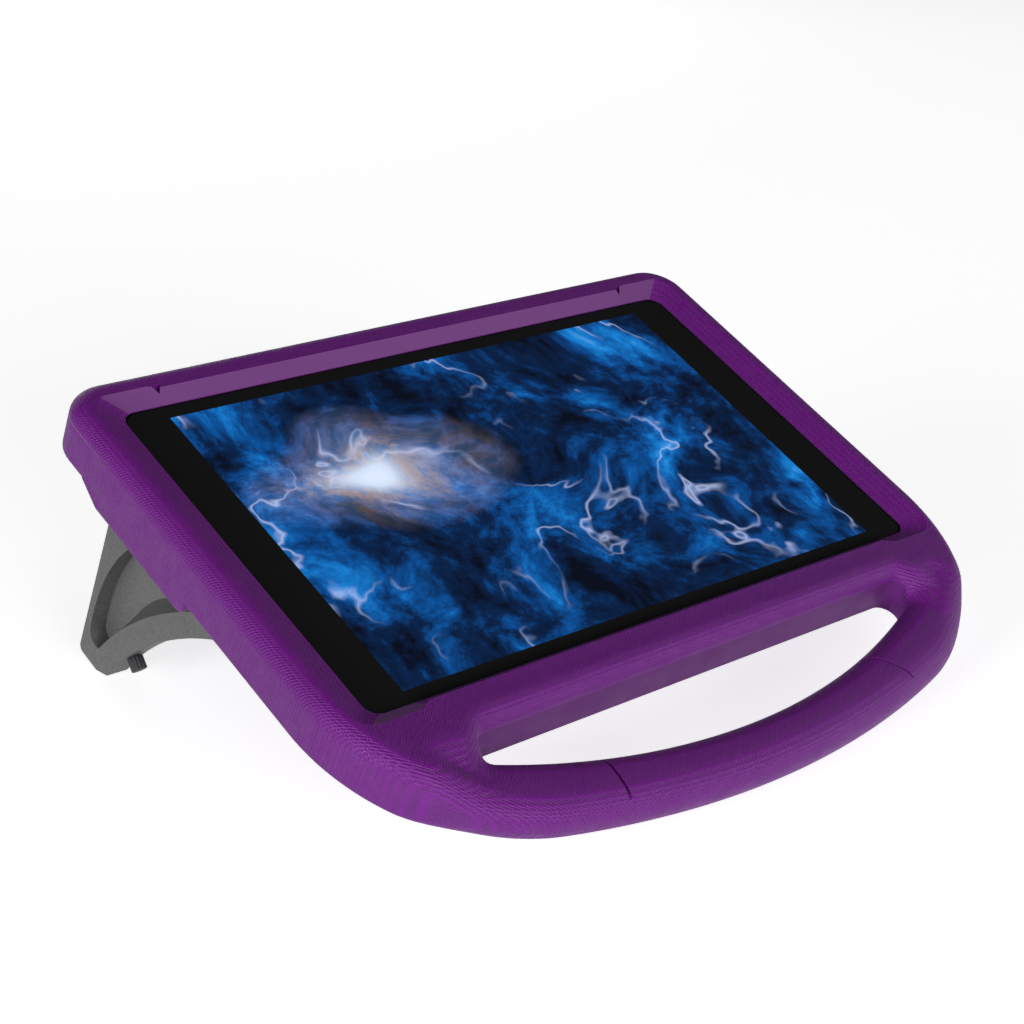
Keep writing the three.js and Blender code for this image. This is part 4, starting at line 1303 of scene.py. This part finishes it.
    def notch(self, side: Side) -> BMesh:
        """Makes the cutter of a small pointed notch in the band's top facet.

        Args:
            side: which end of the facet it is at.

        Returns:
            The cutter.
        """
        outer = self.tablet[1] / 2 - self.lip_overlap + self.band_top[1]
        corners = ((-self.notch_half, outer), (0, outer - self.notch_depth), (self.notch_half, outer))
        bm = outline_face([Vector((x, y, self.notch_level)) for x, y in corners])
        thicken(bm, Z * self.notch_height)
        bmesh.ops.translate(bm, vec=(self.notch_at * side.value, 0, 0), verts=bm.verts)
        return bm

    def crease(self, side: Side) -> BMesh:
        """Makes the cutter of one fine moulded crease: a thin flat collar round the handle.

        Args:
            side: which half of the handle it crosses.

        Returns:
            The collar, set a little outwards and down, so that the crease fades on its other sides.
        """
        x = self.crease_at * side.value
        lean = self.crease_lean_right if side is Side.RIGHT else self.crease_lean_left
        slot_y = self.slot_arc - self.reach + self.handle_width
        outer_y = self.outer_arc - self.reach - math.sqrt(self.outer_arc**2 - x**2)
        inner_y = slot_y - math.sqrt(self.slot_arc**2 - x**2)
        turn = math.atan2(x, slot_y - inner_y)
        half = (inner_y - outer_y) * math.cos(turn) / math.cos(lean) / 2
        thick = (self.handle_top - self.handle_bottom) / 2
        level = (self.handle_top + self.handle_bottom) / 2
        off = Vector((-self.crease_depth, -self.crease_depth, 0))
        sizes = (half, thick, self.handle_radius)
        bm = bmesh.new()
        core = lay_ring(bm, [point + off for point in self.section(*sizes)])
        draw_ring(bm, core, self.section(*(size + self.crease_collar for size in sizes)))
        thicken(bm, Z * self.crease_width)
        aim = Matrix.Rotation(turn + lean, 4, "Z") @ SIDEWAYS
        place = Matrix.Translation((x, (inner_y + outer_y) / 2, level)) @ aim
        bmesh.ops.transform(bm, matrix=place, verts=bm.verts)
        bmesh.ops.recalc_face_normals(bm, faces=bm.faces)
        return bm

    @staticmethod
    def section(half: float, thick: float, radius: float) -> Points:
        """Lists a rounded rectangle that stands for the handle's section.

        Args:
            half: half its width.
            thick: half its thickness.
            radius: the radius of its corners.

        Returns:
            Its points, anticlockwise from the lower right.
        """
        corners = [(half - radius, -thick + radius), (half - radius, thick - radius)]
        corners += [(radius - half, thick - radius), (radius - half, -thick + radius)]
        turns = [((i - 1) * QUARTER, i * QUARTER, SECTION_STEPS) for i in range(len(corners))]
        return [point for centre, turn in zip(corners, turns) for point in arc(centre, radius, *turn)]

    def hollows(self) -> list[BMesh]:
        """Makes the cutters for both hinge brackets, sunk flush in the back.

        Returns:
            The two cutters.
        """
        low_x = HINGE_X - self.hollow_sides[0] - self.fit
        high_x = HINGE_X + self.hollow_sides[1] + self.fit
        length = self.hollow_length + 2 * self.fit
        levels = (self.back_level - 1, self.back_level + self.hollow_depth)
        made = []
        for side in Side:
            bm = rounded_plate(high_x - low_x, length, self.hollow_corner, *levels)
            bmesh.ops.translate(bm, vec=((low_x + high_x) / 2 * side.value, self.hollow_y, 0), verts=bm.verts)
            made.append(bm)
        return made

    def build(self) -> Object:
        """Makes the foam shell and lets it stand for its CAD nodes.

        Returns:
            The shell.
        """
        finishes = [finish.build() for finish in (GRAINED_FOAM, SMOOTH_FOAM, GLOSSY_LIT_FOAM)]
        shell = object_of("foam_shell", self.body(), finishes)
        carve(shell, [self.guard(), mirrored(self.guard())], Carving.JOIN)
        cutters = [
            *[self.side_window(*window) for window in self.side_windows],
            self.key_window(),
            self.camera_hole(),
            *[cut(side) for side in Side for cut in (self.crease, self.notch)],
            *self.hollows(),
        ]
        carve(shell, cutters, Carving.CUT)
        set_in_world(shell, self.sharp_from)
        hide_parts("case_shell", "carry_handle")
        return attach(shell, "case")


@dataclass(frozen=True)
class Lamp:
    """One soft square lamp: its place and size in metres and its power in watts."""

    name: str
    place: Triple
    size: float
    power: float


@dataclass
class Studio:
    """The pale floor, the soft lamps and the camera."""

    lens: float = 76.75
    sensor: float = 36.0
    clip: Pair = (0.01, 200.0)
    viewpoint: Triple = (-486.42, -380.07, 448.06)
    forward: Triple = (0.6268, 0.7068, -0.3279)
    floor_size: float = 60.0
    floor_level: float = -0.0002
    floor_glow: float = 0.72
    aim: Triple = (0, 0, 0.05)
    surround: tuple[float, float, float, float] = (0.9, 0.93, 1.0, 1.0)
    surround_strength: float = 0.05
    lamps: tuple[Lamp, ...] = (
        Lamp("front_lamp", (-0.7, -2.6, 0.32), 1.3, 71.0),
        Lamp("left_lamp", (-2.6, -0.4, 0.45), 1.3, 54.0),
        Lamp("right_lamp", (2.5, -1.0, 0.45), 1.2, 15.0),
        Lamp("rear_lamp", (0.8, 2.6, 0.5), 1.4, 18.0),
    )

    def camera(self) -> None:
        """Makes the camera at the photograph's viewpoint."""
        data = bpy.data.cameras.new("camera")
        data.lens = self.lens
        data.sensor_width = self.sensor
        data.clip_start, data.clip_end = self.clip
        made = bpy.data.objects.new("camera", data)
        made.location = TO_WORLD @ Vector(self.viewpoint)
        made.rotation_euler = Vector(self.forward).to_track_quat("-Z", "Y").to_euler()
        bpy.context.scene.collection.objects.link(made)
        bpy.context.scene.camera = made

    def floor_finish(self) -> Material:
        """Makes a floor that looks white to the camera and in reflections, and keeps the shadow.

        Returns:
            The material.
        """
        kit = NodeKit("white_floor")
        path = kit.add("LightPath")
        seen = kit.math("ADD", path.outputs["Is Camera Ray"], path.outputs["Is Glossy Ray"])
        seen = kit.math("ADD", seen, path.outputs["Is Transmission Ray"], clamp=True)
        speck = kit.noise(kit.add("TexCoord").outputs["Object"], 3.0)
        pale = kit.ramp(speck, [(0.0, 0.88), (1.0, 0.9)])
        glow = kit.math("MULTIPLY", seen, self.floor_glow)
        kit.shade(Base_Color=pale, Roughness=0.9, Specular_IOR_Level=0.0)
        kit.shade(Emission_Color=(1, 1, 1, 1), Emission_Strength=glow)
        return kit.material

    def floor(self) -> None:
        """Makes the floor, a hair below the feet."""
        bm = bmesh.new()
        bmesh.ops.create_grid(bm, x_segments=2, y_segments=2, size=self.floor_size / 2)
        bmesh.ops.translate(bm, vec=(0, 0, self.floor_level), verts=bm.verts)
        object_of("floor", bm, [self.floor_finish()])

    def light(self, lamp: Lamp) -> None:
        """Adds a lamp that faces the case.

        Args:
            lamp: which lamp.
        """
        data = bpy.data.lights.new(lamp.name, "AREA")
        data.size, data.energy = lamp.size, lamp.power
        made = bpy.data.objects.new(lamp.name, data)
        made.location = lamp.place
        made.rotation_euler = (Vector(self.aim) - Vector(lamp.place)).to_track_quat("-Z", "Y").to_euler()
        bpy.context.scene.collection.objects.link(made)

    def world(self) -> None:
        """Sets a plain dim surrounding light."""
        world = bpy.data.worlds.new("surround")
        world.use_nodes = True
        backdrop = world.node_tree.nodes["Background"]
        backdrop.inputs["Color"].default_value = self.surround
        backdrop.inputs["Strength"].default_value = self.surround_strength
        bpy.context.scene.world = world

    def build(self) -> None:
        """Sets up the studio."""
        self.camera()
        self.floor()
        self.world()
        for lamp in self.lamps:
            self.light(lamp)
        bpy.context.scene.view_settings.view_transform = "Standard"


@dataclass
class StandLeg:
    """One folding leg: an arched blade with a curved pocket, its hinge knuckles and its ribbed knob.

    It is shaped as the right leg, with the hinge's axis as the y axis, and then put in its place.
    """

    side: Side
    hinge_level: float = -21.35
    hinge_drop: float = 5.55
    hinge_radius: float = 4.85
    pin_bore: float = 1.8
    bore_span: Pair = (-30.0, 80.0)
    thickness: float = 9.7
    blade_edge: float = 0.8
    rear_edge: float = 74.4
    front_edge: float = -20.0
    foot_front: float = 55.8
    foot_flat: float = 6.0
    foot_corner: float = 3.0
    foot_pull: Pair = (-10.8, 28.3)
    front_pull: Pair = (39.0, -21.0)
    knuckles: tuple[Pair, ...] = ((-12.65, 16.0), (39.35, 66.0))
    knuckle_edge: float = 0.25
    knuckle_root: float = 2.0
    heel_gap: float = 0.3
    pocket_depth: float = 6.5
    arch_rim: float = 9.4
    rear_rim: float = 3.8
    top_rim: float = 6.5
    foot_rim: float = 9.5
    pocket_top: float = 30.0
    pocket_tip: float = 8.0
    pocket_draft: float = 5.0
    pocket_lead: float = 3.0
    pocket_bow: float = 1.0
    toe_pull: float = 2.0
    cut_past: float = 0.02
    blade_sharp: float = 28.0
    knob_share: float = 0.17
    knob_radius: float = 2.9
    knob_length: float = 5.0
    knob_edge: float = 0.3
    knob_ribs: int = 14
    knob_groove: float = 0.9
    knob_sharp: float = 25.0
    stem_radius: float = 1.6
    stem_span: Pair = (-4.5, 1.0)
    seat_steps: int = 400
    blade_steps: int = 40
    pocket_steps: int = 48
    curve_steps: int = 28
    knuckle_steps: int = 18

    @property
    def name(self) -> str:
        """The side as a word for names."""
        return self.side.name.lower()

    def table_under(self, y: float) -> float:
        """Returns the level of the table below a point y of the plan, counted from the hinge."""
        table = -TO_WORLD.translation.z * MM_PER_METRE
        return (table - math.sin(TILT) * y) / math.cos(TILT) - self.hinge_level

    def arch(self, steps: int) -> Points:
        """Lists the leg's concave front edge, from its foot up to its front end.

        Args:
            steps: how many chords stand for it.

        Returns:
            Its points.
        """
        foot = Vector((0, self.foot_front, self.table_under(self.foot_front)))
        top = Vector((0, self.front_edge, -self.hinge_drop))
        pulls = (foot + Vector((0, *self.foot_pull)), top + Vector((0, *self.front_pull)))
        return list(interpolate_bezier(foot, *pulls, top, steps + 1))

    def blade(self) -> BMesh:
        """Makes the arched blade.

        Returns:
            The blade, without knuckles or pocket.
        """
        bottom = self.table_under(self.foot_front + self.foot_flat)
        centre = (self.rear_edge - self.foot_corner, bottom + self.foot_corner)
        corner = [Vector((0, point.x, point.y)) for point in arc(centre, self.foot_corner, -QUARTER, 0, CORNER_STEPS)]
        heel = Vector((0, self.foot_front + self.foot_flat, bottom))
        rear = Vector((0, self.rear_edge, -self.hinge_drop))
        bm = outline_face([*reversed(self.arch(self.blade_steps)), heel, *corner, rear])
        thicken(bm, X * self.thickness, self.blade_edge)
        bmesh.ops.translate(bm, vec=(-self.thickness / 2, 0, 0), verts=bm.verts)
        return bm

    def pocket_front(self, tip: float, top: float) -> tuple[Points, Points]:
        """Lists the pocket's edge beside the arch, at the outer face and at its floor.

        Args:
            tip: the level of the pocket's lower end.
            top: the level of its upper end.

        Returns:
            The points at the face and those at the floor, which the draft sets back.
        """
        path = self.arch(self.pocket_steps)
        face, floor = [], []
        for here, there in zip(path, path[1:]):
            along = (there - here).normalized()
            away = Vector((0, along.z, -along.y))
            point = (here + there) / 2 + away * self.arch_rim
            if tip < point.z < top:
                share = math.sin(math.pi * smooth_step(tip, top, point.z))
                face.append(point)
                floor.append(point + away * self.pocket_draft * share)
        return face, floor

    def pocket(self) -> BMesh:
        """Makes the cutter of the curved three-sided pocket in the outer face.

        Returns:
            The cutter.
        """
        top = -self.hinge_drop - self.top_rim
        tip = self.table_under(self.foot_front + self.foot_flat) + self.foot_rim
        face, floor = self.pocket_front(tip, top)
        rear = self.rear_edge - self.rear_rim
        down = Vector((0, rear, tip + self.pocket_tip))
        curve = interpolate_bezier(
            Vector((0, rear - self.pocket_top, top)),
            Vector((0, rear - self.pocket_tip, top - self.pocket_tip)),
            Vector((0, rear + self.pocket_bow, tip + 4 * self.pocket_tip)),
            down,
            self.curve_steps,
        )
        toe = Vector((0, rear - self.pocket_tip + self.pocket_bow, tip))
        pulls = (Vector((0, rear, tip + self.toe_pull)), Vector((0, rear - self.pocket_bow, tip)))
        corner = interpolate_bezier(down, *pulls, toe, CORNER_STEPS)
        bm = outline_face([*face, Vector((0, face[-1].y - self.pocket_lead, top)), *curve, *corner[1:]])
        for flat in bm.faces:
            flat.material_index = Surface.SMOOTH.value
        thicken(bm, X * self.pocket_depth)
        for wide, deep in zip(face, floor):
            for vert in bm.verts:
                if abs(vert.co.x) < SAME_PLACE and (vert.co.yz - wide.yz).length < SAME_PLACE:
                    vert.co = deep
        start = self.thickness / 2 - self.pocket_depth + self.cut_past
        bmesh.ops.translate(bm, vec=(start, 0, 0), verts=bm.verts)
        return bm

    def knuckle(self, low: float, high: float) -> BMesh:
        """Makes one knuckle: round inside, with a square heel outside that meets the bracket.

        Args:
            low: where along the hinge it starts.
            high: where it ends.

        Returns:
            The knuckle, which reaches down into the blade.
        """
        radius, root, heel = self.hinge_radius, -self.hinge_drop - self.knuckle_root, self.hinge_drop - self.heel_gap
        corners = ((-radius, root), (radius, root), (radius, heel), (0, heel))
        turn = arc((0, 0), radius, QUARTER, math.pi, self.knuckle_steps)
        bm = outline_face([Vector((x, 0, z)) for x, z in (*corners, *(point.xy for point in turn))])
        thicken(bm, Y * (high - low), self.knuckle_edge, 2)
        bmesh.ops.translate(bm, vec=(0, low, 0), verts=bm.verts)
        return bm

    def knob_seat(self) -> tuple[Vector, Vector]:
        """Finds where the knob stands on the arch.

        Returns:
            The point, and which way the knob points.
        """
        path = self.arch(self.seat_steps)
        index = round(self.seat_steps * self.knob_share)
        along = (path[index + 1] - path[index - 1]).normalized()
        return path[index], Vector((0, -along.z, along.y))

    def to_place(self, bm: BMesh) -> BMesh:
        """Moves a mesh from the right leg's hinge to this leg's place."""
        bmesh.ops.translate(bm, vec=(HINGE_X, 0, self.hinge_level), verts=bm.verts)
        return mirrored(bm) if self.side is Side.LEFT else bm

    def build_blade(self) -> Object:
        """Makes the leg and lets it stand for its CAD node.

        Returns:
            The leg.
        """
        finishes = [GRAINED_GREY.build(), SMOOTH_GREY.build()]
        leg = object_of(f"stand_leg_{self.name}", self.to_place(self.blade()), finishes)
        carve(leg, [self.to_place(self.knuckle(*span)) for span in self.knuckles], Carving.JOIN)
        bore = rod(self.pin_bore, *(Y * end for end in self.bore_span))
        carve(leg, [self.to_place(bore), self.to_place(self.pocket())], Carving.CUT)
        set_in_world(leg, self.blade_sharp)
        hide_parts(f"leg_{self.name}")
        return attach(leg, f"leg_{self.name}")

    def build_knob(self) -> Object:
        """Makes the ribbed finger knob and lets it stand for its CAD node.

        Returns:
            The knob.
        """
        bm = bmesh.new()
        circle = bmesh.ops.create_circle(bm, segments=4 * self.knob_ribs, radius=self.knob_radius)["verts"]
        grooves = [vert for i, vert in enumerate(circle) if i % 4 in (0, 1)]
        bmesh.ops.scale(bm, vec=(self.knob_groove, self.knob_groove, 1), verts=grooves)
        bmesh.ops.contextual_create(bm, geom=circle)
        thicken(bm, Z * self.knob_length, self.knob_edge, 2)
        bmesh.ops.translate(bm, vec=(0, 0, self.knob_edge), verts=bm.verts)
        stem = rod(self.stem_radius, *(Z * end for end in self.stem_span), 24)
        scratch = bpy.data.meshes.new("stem")
        stem.to_mesh(scratch)
        stem.free()
        bm.from_mesh(scratch)
        bpy.data.meshes.remove(scratch)
        point, outward = self.knob_seat()
        turn = Z.rotation_difference(outward).to_matrix().to_4x4()
        bmesh.ops.transform(bm, matrix=Matrix.Translation(point) @ turn, verts=bm.verts)
        knob = object_of(f"ribbed_knob_{self.name}", self.to_place(bm), [KNOB_RUBBER.build()])
        set_in_world(knob, self.knob_sharp)
        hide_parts(f"finger_knob_{self.name}")
        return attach(knob, f"leg_{self.name}")

    def build(self) -> None:
        """Makes the leg and its knob."""
        for piece in (self.build_blade(), self.build_knob()):
            LOG.info("made %s", piece.name)


@dataclass
class TabletAndFittings:
    """The pieces whose CAD shape is right, each with the finish of its own material."""

    finishes: dict[str, ScreenFinish | MetalFinish | PlasticFinish] = field(
        default_factory=lambda: {
            "tablet_glass": SCREEN,
            "tablet_housing": MetalFinish("anodised_housing", (0.06, 0.064, 0.07), 0.38),
            "power_key": MetalFinish("power_key_metal", (0.07, 0.074, 0.08), 0.34),
            "volume_key": MetalFinish("volume_key_metal", (0.07, 0.074, 0.08), 0.34),
            "display_panel": PlasticFinish("panel_back", (0.12, 0.13, 0.14), 0.35, 0.004, 0.00001),
            "battery": PlasticFinish("battery_wrap", (0.02, 0.021, 0.024), 0.4, 0.002, 0.00002),
            "mainboard": PlasticFinish("solder_mask", (0.012, 0.09, 0.04), 0.45, 0.0012, 0.00003),
            "rear_camera": PlasticFinish("camera_black", (0.012, 0.012, 0.014), 0.2, 0.003, 0.00001),
            "usb_port": MetalFinish("port_steel", (0.5, 0.51, 0.53), 0.25),
            "audio_jack": PlasticFinish("jack_black", (0.014, 0.014, 0.016), 0.4),
            "speaker_upper": PlasticFinish("speaker_black", (0.014, 0.014, 0.016), 0.5, 0.0006, 0.0001),
            "speaker_lower": PlasticFinish("speaker_lower_black", (0.014, 0.014, 0.016), 0.5, 0.0006, 0.0001),
        }
    )
    bracket_tone: Triple = (0.085, 0.085, 0.085)
    steel_tone: Triple = (0.5, 0.51, 0.53)
    steel_roughness: float = 0.28

    def add_hinge_finishes(self) -> None:
        """Adds the finishes of the pieces that both hinges are made of."""
        for side in ("left", "right"):
            for node in ("hinge_bracket", "clamp_plate"):
                self.finishes[f"{node}_{side}"] = PlasticFinish(f"{node}_{side}_grey", self.bracket_tone)
            for name in (f"hinge_pin_{side}", f"clamp_screw_{side}_1", f"clamp_screw_{side}_2"):
                self.finishes[name] = MetalFinish(f"{name}_steel", self.steel_tone, self.steel_roughness)

    def build(self) -> None:
        """Gives each CAD node its finish."""
        self.add_hinge_finishes()
        for node, finish in self.finishes.items():
            material = finish.build()
            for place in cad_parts[node].material_slots:
                place.material = material
            LOG.info("dressed %s", node)


def main() -> None:
    """Builds the studio and every piece in order."""
    logging.basicConfig(level=logging.INFO, format="%(name)s: %(message)s")
    Studio().build()
    LOG.info("made %s", FoamShell().build().name)
    for side in Side:
        StandLeg(side).build()
    TabletAndFittings().build()


if __name__ == "__main__":
    main()
